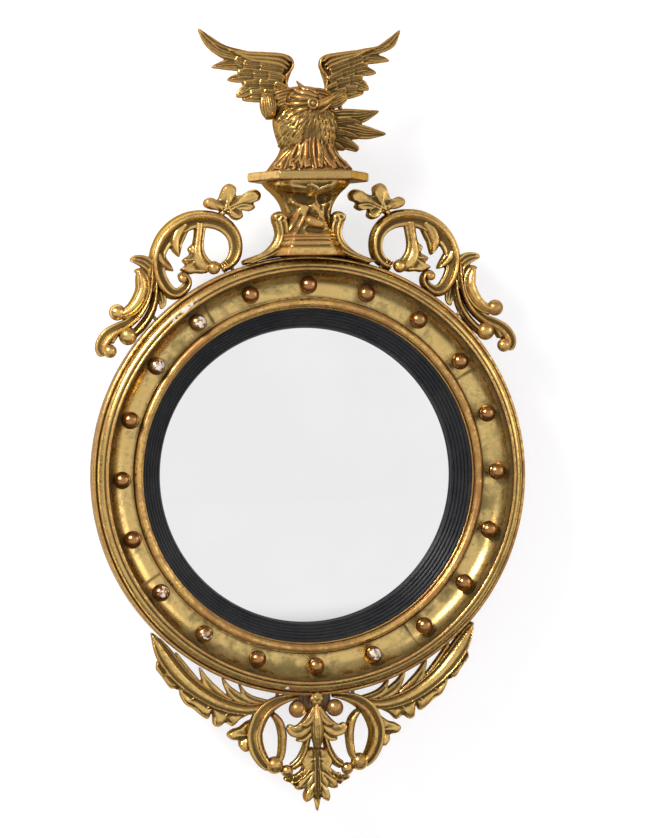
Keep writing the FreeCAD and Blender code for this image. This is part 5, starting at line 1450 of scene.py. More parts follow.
BASE_LEVELS = [
    (299.0, 58.0, -104.5), (304.0, 56.0, -105.0), (308.0, 52.5, -104.8), (311.5, 48.5, -103.5),
    (313.0, 47.5, -104.8), (315.5, 46.5, -105.6), (318.0, 45.5, -104.6), (319.2, 43.5, -102.8),
    (320.4, 43.5, -103.6), (322.2, 43.2, -104.0), (324.0, 42.5, -102.4),
]
BODY_LEVELS = [
    (322.5, 42.0, -99.0), (324.0, 43.5, -101.5), (326.5, 43.8, -102.0), (329.0, 40.5, -99.5),
    (334.0, 35.5, -96.5), (344.0, 31.5, -94.5), (356.0, 31.0, -94.0), (368.0, 34.0, -96.5),
    (378.0, 39.5, -102.0), (386.0, 46.5, -109.0), (393.0, 54.0, -115.0), (400.8, 60.0, -119.5),
]


def relief_depth(x, z):
    """How far the carved rocks and folds stand proud at places on the plinth's front."""
    total = np.zeros_like(x)
    for (ax, az), (bx, bz), radius, height in PLINTH_RELIEF:
        run_x, run_z = bx - ax, bz - az
        share = np.clip(((x - ax) * run_x + (z - az) * run_z) / (run_x ** 2 + run_z ** 2), 0, 1)
        away = np.hypot(x - ax - share * run_x, z - az - share * run_z)
        bulge = height * np.exp(-(away / radius) ** 4)
        total = np.where(np.abs(bulge) > np.abs(total), bulge, total) if height > 0 else total + bulge
    return total


def flared(levels):
    """Eight-sided rings of a flared body, closely spaced."""
    return dense_rings([octagon(half, front, RAIL_BACK, z) for z, half, front in levels], 9)


def laid(points, surface, section, proud, sunk, **ends):
    """Stroke laid on a surface, its crest standing proud of it."""
    rows = smooth_rows(points, 4.0)
    placed = [(x, z, half, -surface(x, z)) for x, z, half in rows[:, :3]]
    return stroke(placed, section, -proud, sunk, **ends)


PLINTH_RELIEF = [
    ((-44, 390), (-12, 386), 6.0, 5.0), ((-34, 396), (30, 398), 7.0, 3.0), ((-4, 390), (10, 384), 5.5, 5.5),
    ((10, 384), (24, 390), 5.5, 6.5), ((26, 392), (46, 392), 6.0, 4.0), ((-40, 380), (-32, 358), 5.0, 3.5),
    ((-32, 358), (-34, 338), 4.5, 3.5), ((38, 380), (31, 360), 4.5, 3.5), ((31, 360), (32, 338), 4.5, 3.5),
    ((-26, 372), (-8, 364), 4.0, 3.5), ((-8, 364), (-24, 348), 5.0, 4.0), ((-24, 348), (-34, 330), 4.0, 3.5),
    ((-6, 362), (-14, 344), 4.0, 4.0), ((-14, 344), (-24, 330), 3.5, 3.5), ((0, 368), (12, 358), 3.5, 3.5),
    ((12, 358), (22, 340), 4.0, 4.0), ((22, 340), (30, 329), 3.5, 3.0), ((0, 346), (12, 342), 7.0, 7.0),
    ((6, 379), (11, 364), 2.6, 4.0), ((22, 368), (18, 356), 3.5, 3.0),
    ((-20, 376), (-2, 373), 6.0, -7.0), ((13, 374), (24, 376), 5.0, -7.0), ((-4, 334), (14, 333), 3.5, -3.5),
    ((-20, 338), (-14, 352), 2.5, -2.5), ((-2, 356), (8, 352), 2.5, -3.0), ((24, 350), (20, 362), 2.5, -2.5),
]


def plinth_body_shells():
    rings = []
    for ring in flared(BODY_LEVELS):
        facing = ring[:, 1] < RAIL_BACK - 12
        proud = relief_depth(ring[:, 0], ring[:, 2])
        fade = np.clip((ring[:, 2] - 326.0) / 4.0, 0, 1)
        ring[:, 1] -= np.where(facing, proud * fade, 0.0)
        rings.append(ring)
    return [loft(rings)]


def plinth_base_shells():
    return [loft(flared(BASE_LEVELS))]


RAIL_TOP_RADIUS = 238.0
RAIL_TOP_Z = 312.0
RAIL_HALF = 88.0
RAIL_SECTION = [(-1.0, 0.62), (-0.8, 0.72), (-0.62, 0.66), (-0.5, 0.8), (-0.2, 0.92), (0.1, 0.9),
                (0.22, 0.76), (0.34, 0.94), (0.6, 1.0), (0.84, 0.94), (0.96, 0.78), (1.0, 0.6)]


def rail_shells():
    line = []
    for x in np.linspace(-RAIL_HALF, RAIL_HALF, 23):
        top = RAIL_TOP_Z - RAIL_TOP_RADIUS + math.sqrt(RAIL_TOP_RADIUS ** 2 - x * x)
        low = math.sqrt((RING_RADIUS + 0.5) ** 2 - x * x)
        line.append((x, (top + low) / 2, (top - low) / 2))
    return [stroke(line, RAIL_SECTION, RAIL_FRONT, RAIL_BACK, thin=0.1)]


def platform_shells():
    """Board with a moulded edge under the rocks."""
    low, high = PLATFORM_LOW[2] - 2.5, PLATFORM_HIGH[2] + 1.5
    half_x, front, back = PLATFORM_HIGH[0], PLATFORM_LOW[1], PLATFORM_HIGH[1]
    middle = (front + back) / 2
    share = 48.0 / 84.0
    rings = []
    for z, inset in ((low, 2.2), (low + 0.8, 0.9), (low + 2.0, 0.2), (high - 3.2, 0.0), (high - 1.6, 0.4),
                     (high - 0.5, 1.2), (high, 2.6)):
        w, f, d = half_x - inset * 1.6, half_x * share - inset, (back - front) / 2 - inset
        corners = [(-f, -d), (f, -d), (w, 0), (f, d), (-f, d), (-w, 0), (-f, -d)]
        ring = []
        for (ax, ay), (bx, by) in zip(corners, corners[1:]):
            ring += [(ax + (bx - ax) * k / 40.0, middle + ay + (by - ay) * k / 40.0, z) for k in range(40)]
        rings.append(np.array(ring))
    return [loft(rings)]


# ---- mound and eagle ----------------------------------------------------------------
MOUND_Y = -87.5
MOUND_LEVELS = [(409.8, 60.0, 43.0), (414.0, 58.0, 42.0), (422.0, 52.0, 38.0), (432.0, 44.0, 34.0),
                (440.0, 40.0, 32.0), (448.0, 37.0, 31.0), (454.0, 30.0, 28.0)]
BREAST_LEVELS = [
    (438.0, -1.0, 34.0, 27.0, -87.0), (446.0, -2.0, 38.0, 30.0, -88.0), (456.0, -3.0, 41.0, 32.0, -89.0),
    (468.0, -4.0, 43.5, 33.0, -90.0), (480.0, -5.0, 44.0, 33.0, -90.0), (492.0, -6.0, 40.0, 31.0, -88.0),
    (502.0, -6.0, 30.0, 26.0, -87.0), (512.0, -5.0, 16.0, 16.0, -86.0),
]


def ellipse_rings(levels, steps=96):
    rings = []
    turn = np.linspace(0, 2 * math.pi, steps, endpoint=False)
    for z, cx, half_x, half_y, cy in levels:
        rings.append(np.stack([cx + half_x * np.sin(turn), cy - half_y * np.cos(turn), np.full(steps, z)], 1))
    return rings


def level_surface(levels):
    """Front surface of a stack of ellipses, as a function of x and z."""
    heights = [level[0] for level in levels]
    columns = [[level[i] for level in levels] for i in range(1, 5)]

    def surface(x, z):
        cx, half_x, half_y, cy = (np.interp(z, heights, column) for column in columns)
        share = min(abs(x - cx) / max(half_x, 1e-6), 0.97)
        return cy - half_y * math.sqrt(1 - share * share)

    return surface


def mound_levels():
    return [(z, 0.0, half_x, half_y, MOUND_Y) for z, half_x, half_y in MOUND_LEVELS]


MOUND_SEED = 11
MOUND_RIDGES = 12             # on each side
MOUND_HOOKS = 10
RIDGE_WIDTHS = (0.45, 0.95, 1.0, 0.85, 0.9, 0.4)


def mound_shells():
    """Curling leaves and rocks under the bird."""
    levels = mound_levels()
    mound = level_surface(levels)
    breast = level_surface(BREAST_LEVELS)
    shells = [loft(dense_rings(ellipse_rings(levels), 4))]

    def surface(x, z):
        return min(mound(x, z), breast(x, z)) if z > 444 else mound(x, z)

    pick = np.random.default_rng(MOUND_SEED)
    for side in (-1, 1):
        for k in range(MOUND_RIDGES):
            foot_x = side * (2 + 4.9 * k) + pick.uniform(-1.0, 1.0)
            top_x = foot_x * 0.52 + side * pick.uniform(0, 3)
            top_z = 456 - 0.25 * abs(foot_x) + pick.uniform(-3, 3)
            foot_z = 411 + pick.uniform(0, 5) + (4 if k % 3 == 1 else 0)
            half = pick.uniform(2.4, 3.8)
            curl = side * pick.uniform(-6, 5)
            line = []
            for j, wide in enumerate(RIDGE_WIDTHS):
                share = j / (len(RIDGE_WIDTHS) - 1)
                bend = math.sin(share * math.pi * 1.3) * curl * 0.6
                line.append((top_x + (foot_x - top_x) * share ** 1.3 + bend, top_z + (foot_z - top_z) * share,
                             half * wide))
            shells.append(laid(line, surface, ROUND, pick.uniform(2.5, 6.5), 5.0, start=2, end=2))
    for k in range(MOUND_HOOKS):
        x = -42 + 9.3 * k + pick.uniform(-2, 2)
        z = 415 + pick.uniform(0, 6)
        turn = 1 if k % 2 else -1
        hook = [(x, z + 8, 1.5), (x + turn * 5, z + 5, 2.6), (x + turn * 6, z - 1, 2.6),
                (x + turn, z - 3, 1.6)]
        shells.append(laid(hook, surface, ROUND, 6.0, 4.0, start=1.5, end=1.5))
    return shells


def breast_flow(x, z):
    """Direction of the breast feathers: out of the jaw and down."""
    away = np.array([x - 12.0, z - 506.0])
    away /= max(np.linalg.norm(away), 1e-6)
    flow = away + np.array([-0.1, -0.35])
    return flow / np.linalg.norm(flow)


HACKLE_WIDTHS = (0.55, 1.0, 0.95, 0.6, 0.15)


def hackle(x, z, length, half, surface, proud):
    """Small pointed feather that follows the flow of the breast."""
    points = []
    for wide in HACKLE_WIDTHS:
        points.append((x, z, half * wide))
        step = breast_flow(x, z)
        x += step[0] * length / (len(HACKLE_WIDTHS) - 1)
        z += step[1] * length / (len(HACKLE_WIDTHS) - 1)
    return laid(points, surface, ROUND, proud, 3.0, start=1.0)


MANTLE_HALF = 40.0
MANTLE_ROWS = 7
MANTLE_SPACING = 4.5
BREAST_SEED = 5
BREAST_HOLLOW = (1.0, 463.0)  # centre of the dark hollow on the breast
THROAT_LINES = [
    [(6, 489, 1.5), (-6, 479, 2.8), (-18, 465, 2.8), (-32, 445, 1.0)],
    [(0, 490, 1.5), (-12, 481, 2.8), (-24, 468, 2.8), (-36, 450, 1.0)],
    [(-5, 492, 1.5), (-17, 485, 2.8), (-30, 473, 2.8), (-40, 458, 1.0)],
    [(-9, 495, 1.5), (-22, 490, 2.8), (-34, 481, 2.8), (-44, 468, 1.0)],
    [(-12, 499, 1.5), (-26, 496, 2.6), (-38, 489, 2.6), (-46, 478, 1.0)],
]


def breast_shells():
    surface = level_surface(BREAST_LEVELS)
    shells = [loft(dense_rings(ellipse_rings(BREAST_LEVELS), 4))]
    shells += [laid(line, surface, RIBBED, 3.4, 4.0, start=1.0) for line in THROAT_LINES]
    shells.append(ball(-6, EAGLE_Y - 3, 508, MANTLE_HALF, (1.0, 0.4, 0.52)))
    for side in (-1, 1):
        for k in range(MANTLE_ROWS):
            z = 523 - MANTLE_SPACING * k
            line = [(-6 + side * 8, z + 1, 1.5, 0), (-6 + side * 22, z, 2.6, -1),
                    (-6 + side * 36, z - 4, 2.4, -4), (-6 + side * 44, z - 8, 1.0, -8)]
            shells.append(stroke(line, ROUND, EAGLE_Y - 17, EAGLE_Y - 6, start=2, end=2))
    heights = [level[0] for level in BREAST_LEVELS]
    halves = [level[2] for level in BREAST_LEVELS]
    pick = np.random.default_rng(BREAST_SEED)
    for _ in range(bpy.context.scene.mirror_carving.hackles):
        z = pick.uniform(452, 502)
        half_x = np.interp(z, heights, halves)
        x = -5 + pick.uniform(-0.86, 0.9) * half_x
        dark = math.hypot((x - BREAST_HOLLOW[0]) / 13.0, (z - BREAST_HOLLOW[1]) / 18.0) < 1.0
        half = pick.uniform(0.8, 1.2) if dark else pick.uniform(1.1, 1.8)
        length = pick.uniform(9, 15) * (0.75 if abs(x + 5) > 0.75 * half_x else 1.0)
        proud = pick.uniform(0.8, 1.6) if dark else pick.uniform(1.6, 3.2)
        shells.append(hackle(x, z, length, half, surface, proud))
    return shells


HEAD_Y = -107.0
HEAD_MIDDLE = (-2.0, 503.0)
HEAD_HALVES = (24.0, 20.0)    # half width and half height of the front of the head
HEAD_DEPTH = 17.0
EYE = (7.0, -124.5, 501.0)


def head_surface(x, z):
    """Front of the head at a place, as a part of an ellipsoid."""
    across = (x - HEAD_MIDDLE[0]) / HEAD_HALVES[0]
    up = (z - HEAD_MIDDLE[1]) / HEAD_HALVES[1]
    share = min(math.hypot(across, up), 0.97)
    return HEAD_Y - HEAD_DEPTH * math.sqrt(1 - share * share)


CROWN_LINES = [
    [(18, 514, 1.5), (8, 518, 3.8), (-3, 522, 4.2), (-13, 533, 0.8)],
    [(17, 510, 1.5), (5, 513, 3.8), (-7, 516, 4.2), (-19, 523, 0.8)],
    [(13, 506, 1.5), (1, 508, 3.4), (-10, 509, 3.8), (-22, 512, 0.8)],
    [(-1, 501, 1.4), (-10, 501, 3.2), (-19, 501, 3.2), (-29, 502, 0.8)],
    [(0, 495, 1.4), (-9, 493, 3.2), (-18, 490, 3.2), (-28, 487, 0.8)],
    [(6, 491, 1.4), (-3, 486, 3.2), (-12, 480, 3.2), (-22, 473, 0.8)],
    [(12, 490, 1.4), (4, 483, 3.0), (-5, 474, 3.0), (-14, 464, 0.8)],
    [(15, 489, 1.2), (9, 481, 2.4), (2, 471, 2.4), (-5, 460, 0.8)],
]
BEAK_UPPER = [(12, 499, 7.0, 3), (20, 502, 6.8, 4), (28, 506, 5.5, 3), (36, 511, 3.5, 1), (43, 513, 1.0, -1)]
BEAK_LOWER = [(12, 488, 4.0, 1), (20, 492, 4.0, 2), (28, 498, 3.2, 1), (36, 505, 1.6, 0)]


def head_shells():
    shells = [ball(-2, HEAD_Y, 503, 19.0, (1.15, 0.88, 0.95), math.radians(-12)),
              ball(-10, HEAD_Y + 8, 512, 13.0, (1.3, 1.1, 0.9), math.radians(-30)),
              ball(-8, HEAD_Y + 10, 490, 17.0, (1.3, 1.1, 1.1), math.radians(20))]
    shells += [laid(line, head_surface, ROUND, 2.6, 4.0, start=1.0) for line in CROWN_LINES]
    shells.append(stroke(BEAK_UPPER, ROUND, HEAD_Y - 13, HEAD_Y + 4, start=3, end=1, thin=0.6))
    shells.append(stroke(BEAK_LOWER, ROUND, HEAD_Y - 9, HEAD_Y + 4, start=3, end=1, thin=0.6))
    x, y, z = EYE
    for k in range(30):
        turn = 2 * math.pi * k / 30
        shells.append(ball(x + 6.3 * math.sin(turn), y, z + 6.3 * math.cos(turn), 1.6, rings=8, steps=12))
    shells.append(ball(x, y + 0.8, z, 3.9))
    return shells


WING_LEAD = [(-27, 526), (-29, 535), (-28, 543), (-23, 549), (-19, 557), (-22, 566), (-33, 571), (-50, 572),
             (-70, 574), (-90, 575), (-110, 580), (-130, 590), (-144, 604)]


WING_SWEEP = 0.08


def wing_lift(x):
    return -WING_SWEEP * (abs(x) - 20.0)


def wing_rows(points):
    return [(x, z, half, wing_lift(x) + extra) for x, z, half, extra in points]


FLIGHT_FEATHERS = [
    [(-60, 568, 5.0, 0), (-90, 571, 8.0, 0), (-114, 577, 9.0, 0), (-132, 590, 7.5, 0), (-146, 607, 1.5, 0)],
    [(-60, 558, 8.0, -1), (-86, 558, 9.0, -1), (-108, 558, 7.5, -1), (-129, 555, 1.5, -2)],
    [(-56, 546, 7.0, -2), (-76, 543, 8.0, -2), (-94, 540, 6.5, -2), (-108, 538, 1.8, -3)],
    [(-52, 534, 7.0, -3), (-70, 529, 8.0, -3), (-86, 521, 7.5, -3), (-96, 515, 2.5, -4)],
    [(-46, 520, 7.0, -3), (-62, 516, 8.5, -4), (-76, 514, 6.5, -4), (-88, 511, 2.0, -5)],
]
LEAD_FEATHERS = [
    [(-106, 577, 1.5, 3), (-84, 573, 3.2, 4), (-56, 571, 3.6, 5), (-34, 569, 3.2, 6), (-22, 561, 1.6, 6)],
    [(-98, 573, 1.5, 3), (-78, 568, 3.2, 4), (-54, 566, 3.6, 5), (-36, 563, 3.2, 6), (-24, 555, 1.6, 6)],
    [(-90, 569, 1.5, 3), (-72, 563, 3.0, 4), (-52, 561, 3.4, 5), (-36, 557, 3.2, 6), (-27, 550, 1.6, 6)],
]
COVERT_FEATHERS = [
    [(-98, 564, 6.5, 1), (-86, 560, 6.5, 2), (-76, 558, 6.0, 2)],
    [(-87, 558, 6.5, 3), (-74, 556, 6.5, 4), (-56, 555, 6.0, 4)],
    [(-65, 555, 6.5, 5), (-50, 553, 6.5, 6), (-32, 549, 4.5, 6)],
    [(-94, 547, 6.0, 0), (-82, 546, 6.5, 1), (-68, 546, 6.0, 1)],
    [(-74, 545, 6.5, 2), (-60, 544, 6.5, 3), (-46, 543, 6.0, 3)],
    [(-54, 543, 6.5, 4), (-42, 541, 6.5, 5), (-30, 537, 4.0, 5)],
    [(-86, 531, 6.0, -1), (-74, 532, 6.5, 0), (-60, 532, 6.0, 0)],
    [(-66, 532, 6.5, 1), (-52, 531, 6.5, 2), (-38, 530, 6.0, 3)],
    [(-46, 530, 6.0, 4), (-36, 527, 6.0, 5), (-25, 522, 3.5, 5)],
    [(-78, 518, 6.5, -2), (-66, 519, 7.0, -1), (-52, 520, 6.0, 0)],
    [(-60, 519, 6.5, 1), (-48, 518, 6.5, 2), (-34, 517, 5.5, 3)],
]
SHOULDER_FEATHERS = [
    [(-20, 520, 3.0, 3), (-30, 518, 3.5, 6), (-44, 512, 3.5, 8), (-54, 502, 2.5, 9)],
    [(-20, 512, 3.0, 3), (-30, 510, 3.5, 6), (-42, 504, 3.5, 8), (-50, 494, 2.5, 9)],
]
LEFT_WING_INNER = 20.0
RIGHT_WING_INNER = 19.5
RIGHT_WING_LENGTH = 0.9
HEAD_SHIFT = -6.0
SHOULDER_GROOVES = 7
LEFT_SHOULDER = (-56, 501, 11.0, 19.5, math.radians(-6))
RIGHT_SHOULDER = (38, 509, 10.5, 17.0, math.radians(62))


def wing_core():
    """Thin plate under the feathers."""
    lines = [
        [(-30, 512, 8.0, -1), (-35, 528, 9.0, -1), (-33, 542, 10.0, -1), (-29, 552, 9.5, -1),
         (-32, 562, 9.0, -1)],
        [(-36, 526, 10.0, -3), (-56, 530, 16.0, -4), (-74, 536, 14.0, -5), (-88, 538, 6.0, -5)],
        [(-30, 558, 12.0, -2), (-60, 560, 12.0, -3), (-92, 565, 9.0, -3), (-120, 578, 6.0, -3)],
    ]
    front = EAGLE_Y - 5
    return [stroke(wing_rows(line), ROUND, front, front + 10, start=3, end=3) for line in lines]


def shoulder_shells(x, z, wide, tall, turn):
    """Boss of long feathers wrapped over the wing's shoulder."""
    y = EAGLE_Y - 12
    shells = [ball(x, y, z, tall, (wide / tall, 0.7, 1.0), turn)]
    c, s = math.cos(turn), math.sin(turn)
    for k in range(SHOULDER_GROOVES):
        share = (k + 0.5) / SHOULDER_GROOVES * 2 - 1
        rows = []
        for j in range(9):
            swing = math.radians(-76 + 152 * j / 8)
            across = share * wide * math.cos(swing)
            up = tall * math.sin(swing)
            depth = 0.7 * tall * math.sqrt(max(1 - share * share * 0.9, 0.05)) * math.cos(swing)
            rows.append((x + across * c + up * s, z + up * c - across * s,
                         wide / SHOULDER_GROOVES * 0.85, depth))
        shells.append(stroke(rows, ROUND, y - 1.2, y + 5, start=2, end=2, thin=0.0))
    return shells


def wing_shells():
    front = EAGLE_Y - 7
    shells = wing_core()
    shells += [stroke(wing_rows(line), FEATHER, front, front + 8, start=3, end=4, thin=0.15)
               for line in FLIGHT_FEATHERS]
    shells += [stroke(wing_rows(line), FEATHER, front, front + 9, start=2.5, end=2, thin=0.1)
               for line in COVERT_FEATHERS]
    shells += [stroke(wing_rows(line), ROUND, front, front + 9, start=2, end=3, thin=0.2)
               for line in LEAD_FEATHERS + SHOULDER_FEATHERS]
    count = len(WING_LEAD)
    lead = [(x, z, 3.0 * (1 - 0.6 * k / count) if k > 1 else 2.0, 1.5) for k, (x, z) in enumerate(WING_LEAD)]
    shells.append(stroke(wing_rows(lead), ROUND, front, front + 12, start=3, end=2, thin=0.2))
    return shells


def raised_wing(shell):
    """The other wing: mirrored, a little shorter, and held higher under its leading edge."""
    verts, faces = flip_x(shell)
    x = verts[:, 0].copy()
    lift = np.clip((585 - verts[:, 2]) / 25.0, 0, 1) * np.clip((x - 40) / 50.0, 0, 1)
    verts[:, 0] = RIGHT_WING_INNER + (x - LEFT_WING_INNER) * RIGHT_WING_LENGTH
    verts[:, 2] += 10.0 * lift
    return verts, faces


def tail_shells():
    front = EAGLE_Y + 1
    lines = [
        [(14, 484, 8.0, 0), (45, 488, 11.0, 0), (75, 489, 10.0, -1), (102, 496.0, 1.5, -3)],
        [(14, 476, 7.0, 2), (38, 479, 8.0, 2), (58, 481, 6.5, 1), (78, 480, 1.5, 0)],
        [(14, 473, 8.0, 0), (48, 473, 11.0, 0), (82, 467, 9.5, -1), (111, 465.0, 1.5, -3)],
        [(14, 466, 7.0, 3), (34, 465, 8.0, 3), (54, 463, 6.5, 2), (74, 459, 1.5, 1)],
        [(12, 468, 7.0, 0), (36, 458, 9.0, 1), (56, 451, 8.0, 1), (72, 443, 4.0, 0)],
        [(10, 458, 6.0, 2), (28, 452, 7.0, 3), (42, 447, 5.0, 2), (53, 443, 1.5, 1)],
        [(16, 489, 4.0, 4), (30, 488, 4.5, 4), (44, 486, 1.5, 3)],
        [(16, 480, 4.0, 5), (30, 477, 4.5, 5), (44, 474, 1.5, 4)],
        [(14, 470, 4.0, 5), (27, 465, 4.5, 5), (40, 460, 1.5, 4)],
    ]
    return lay(lines, FEATHER, front, front + 12, start=2, end=3, thin=0.2)


# ---- finishes -----------------------------------------------------------------------
def carving_gilt():
    return gilt_material("gilt carving", patina=0.55, tone=0.66)


def moulding_gilt():
    return gilt_material("gilt moulding", patina=0.75, tone=0.64, wear=0.65, bump_mm=0.2, chips=True)


def cove_gilt():
    return gilt_material("cove gilding", patina=0.95, tone=0.42, gold=(0.88, 0.64, 0.26),
                         dull=(0.66, 0.45, 0.155),
                         bump_mm=0.25, grime_and_shade_mark="dirt_and_shade")


def ball_gilt():
    copper = tuple(bpy.context.scene.mirror_gilding.copper)
    return gilt_material("copper-toned balls", patina=0.4, tone=0.6, gold=(0.46, 0.22, 0.078), dull=copper,
                         bump_mm=0.25, chips=True)


def eagle_gilt():
    return gilt_material("eagle gilding", patina=0.35, tone=0.9, wear=0.6, gold=(0.54, 0.32, 0.095),
                         dull=(0.21, 0.12, 0.036), grime_and_shade_mark="dirt_and_shade")


def plinth_gilt():
    return gilt_material("plinth gilding", patina=0.6, tone=0.68, wear=0.6, gold=(0.66, 0.43, 0.14))


def platform_gilt():
    return gilt_material("platform gilding", patina=0.45, tone=0.4, gold=(0.55, 0.36, 0.13),
                         dull=(0.4, 0.24, 0.08), bump_mm=0.2)


def pine():
    return timber_material("old pine", (0.42, 0.27, 0.14), (0.2, 0.11, 0.05))


def brass():
    return metal_material("aged brass", (0.62, 0.43, 0.17), (0.24, 0.16, 0.07), 1.0, 0.36)


def iron():
    return metal_material("dark iron", (0.13, 0.125, 0.12), (0.06, 0.045, 0.035), 0.85, 0.5)


def spot(place, x, z, wide, tall, power):
    """Soft oval mask, 1 at its middle, over places in millimetres."""
    reach = ((place[:, 0] - x) / wide) ** 2 + ((place[:, 2] - z) / tall) ** 2
    return np.exp(-reach ** power)


THROAT_SHADE = (-3, 462, 15.0, 22.0, 1.5)
NECK_SHADE = (-34, 511, 12.0, 13.0, 2)


def mark_area(mesh, name, level):
    """Store a mark from 0 to 1 at each point of a mesh."""
    if name in mesh.attributes:
        mesh.attributes.remove(mesh.attributes[name])
    store(mesh, name, np.clip(level, 0.0, 1.0))


# ---- operators: one for each piece or group of like pieces ----------------------------
class MIRROR_OT_mouldings(bpy.types.Operator):
    """Turn the outer and inner gilt mouldings"""
    bl_idname = "mirror.mouldings"
    bl_label = "Gilt mouldings"

    def execute(self, context):
        finish = moulding_gilt()
        outer = turned_piece("outer_ring", outer_profile(), finish)
        place = coordinates(outer) / MM
        turn = np.degrees(np.arctan2(place[:, 0], place[:, 2]))
        reach = np.hypot(place[:, 0], place[:, 2])
        across = np.abs(reach - (OUTER_IN + 6.5)) / 4.5
        along = np.abs(turn + 38.0) / 6.0
        spot = np.hypot((place[:, 0] + 42.0) / 3.5, (place[:, 2] + 287.0) / 2.5)
        streak = 0.72 - 0.4 * (across ** 4 + along ** 4)
        mark_area(outer, "chip", np.maximum(streak, 1.0 - 0.5 * spot ** 2))
        link_piece("outer_ring", outer, finish, ["outer_moulding"])
        inner = turned_piece("inner_ring", inner_profile(), finish)
        mark_area(inner, "chip", np.zeros(len(inner.vertices)))
        link_piece("inner_ring", inner, finish, ["inner_moulding"])
        return {"FINISHED"}


COVE_JOINT_STAIN = 0.3        # degrees each side of a joint that are stained
COVE_QUARTER = 90.0           # degrees of one length of the hollow moulding


class MIRROR_OT_cove(bpy.types.Operator):
    """Turn the hollow moulding in four lengths with fine joints"""
    bl_idname = "mirror.cove"
    bl_label = "Hollow moulding"

    def execute(self, context):
        finish = cove_gilt()
        centres = ball_centres()
        joint = math.degrees(PIECE_GAP / COVE_OUT)
        for k in range(len(COVE_JOINTS)):
            start = COVE_JOINTS[k] - COVE_QUARTER
            name = "cove_%d" % (k + 1)
            mesh = turned_piece(name, cove_profile(), finish, start + joint, COVE_QUARTER - joint,
                                inside=6.0)
            place = coordinates(mesh)
            reach = np.min(np.linalg.norm(place[:, None, :] - centres[None, :, :], axis=2), axis=1) / MM
            # painted shade round each ball where it sits in the hollow and along both edges of the hollow;
            # the joints get real dark stains
            dirt_and_shade = 0.95 * np.exp(-((reach - BALL_RADIUS) / 3.2) ** 2)
            edge = np.hypot(place[:, 0], place[:, 2]) / MM
            dirt_and_shade = np.maximum(dirt_and_shade, 0.75 * np.exp(-((edge - COVE_OUT) / 2.2) ** 2))
            dirt_and_shade = np.maximum(dirt_and_shade, 0.6 * np.exp(-((edge - COVE_IN) / 2.0) ** 2))
            turn = np.degrees(np.arctan2(place[:, 0], place[:, 2]))
            off = (turn - COVE_JOINTS[0] + COVE_QUARTER / 2) % COVE_QUARTER - COVE_QUARTER / 2
            dirt_and_shade = np.maximum(dirt_and_shade, 0.9 * (np.abs(off) < COVE_JOINT_STAIN))
            mark_area(mesh, "dirt_and_shade", dirt_and_shade)
            link_piece(name, mesh, finish, ["cavetto_segment_%d" % (k + 1)])
        return {"FINISHED"}


class MIRROR_OT_balls(bpy.types.Operator):
    """Set the turned balls round the hollow moulding"""
    bl_idname = "mirror.balls"
    bl_label = "Balls"

    def execute(self, context):
        finish = ball_gilt()
        holder = bpy.data.objects.new("ring_balls", bpy.data.meshes.new("ring_balls"))
        context.scene.collection.objects.link(holder)
        spread = holder.modifiers.new("balls", "NODES")
        spread.node_group = shared_group("balls", balls_tree)
        set_inputs(spread, {
            "Count": BALL_COUNT, "Ring Radius": BALL_RING * MM, "Ball Radius": BALL_RADIUS * MM,
            "Depth": ball_depth() * MM, "Seed": 7, "Finish": finish,
        })
        mesh = evaluated_copy(holder, "ring_balls")
        if not len(mesh.polygons):
            raise RuntimeError("the balls' tree gave no faces")
        shade_smooth(mesh)
        place = coordinates(mesh)
        centres = ball_centres()
        reach = np.linalg.norm(place[:, None, :] - centres[None, :, :], axis=2)
        owner = np.argmin(reach, axis=1)
        amount = np.array([CHIPPED_BALLS.get(k, 0.0) for k in range(BALL_COUNT)])[owner]
        local = (place - centres[owner]) / (BALL_RADIUS * MM)
        facing = np.clip(-local[:, 1] * 1.05 + 0.3 * local[:, 0] + 0.15 * local[:, 2], -1, 1)
        mark_area(mesh, "chip", 0.7 * amount * np.clip((facing - 0.55) / 0.3, 0, 1))
        # painted shade: the mark rises towards the back and underside of each ball, darkening them there
        mark_area(mesh, "hollow", np.clip(local[:, 1] * 0.9 - 0.1 * local[:, 2] + 0.1, -0.5, 1))
        link_piece("ring_balls", mesh, finish, ["spherules"])
        return {"FINISHED"}


class MIRROR_OT_glass(bpy.types.Operator):
    """Turn the black reeded slip and the convex glass"""
    bl_idname = "mirror.glass"
    bl_label = "Slip and glass"

    def execute(self, context):
        slip = slip_material()
        link_piece("reeded_slip", turned_piece("reeded_slip", slip_profile(), slip, inside=0.12), slip,
                   ["ebonised_slip"])
        glass = glass_material()
        link_piece("convex_glass", turned_piece("convex_glass", glass_profile(), glass, spacing=3.5), glass,
                   ["mirror_plate"])
        return {"FINISHED"}


class MIRROR_OT_backing(bpy.types.Operator):
    """Finish the backboard, straps, hangers, screws and pads, which keep the part's own shapes"""
    bl_idname = "mirror.backing"
    bl_label = "Backing and fixings"

    def execute(self, context):
        finishes = {
            "back_ring": pine(), "backboard": pine(), "glazing_blocks": pine(), "crest_batten": pine(),
            "apron_block": pine(), "dowels": pine(), "spherule_pins": pine(), "wall_pads": felt_material(),
            "hanger_plates": brass(), "hanger_ring_left": brass(), "hanger_ring_right": brass(),
            "crest_strap": iron(), "apron_strap": iron(), "screws": iron(),
        }
        for node, finish in finishes.items():
            piece = bpy.data.objects.get(node)
            if piece is None:
                raise RuntimeError("the frame has no object for " + node)
            for slot in piece.material_slots:
                slot.material = finish
            if not piece.material_slots:
                piece.data.materials.append(finish)
        return {"FINISHED"}


class MIRROR_OT_crest_scrolls(bpy.types.Operator):
    """Carve the two C-scrolls of the crest and the branches inside them"""
    bl_idname = "mirror.crest_scrolls"
    bl_label = "Crest scrolls"

    def execute(self, context):
        both_sides("crest_c_scroll", scroll_shells(), ["crest_scroll_left", "crest_scroll_right"],
                   carving_gilt())
        pair_piece("crest_inner_branches", branch_shells(), "crest_branches", carving_gilt())
        return {"FINISHED"}


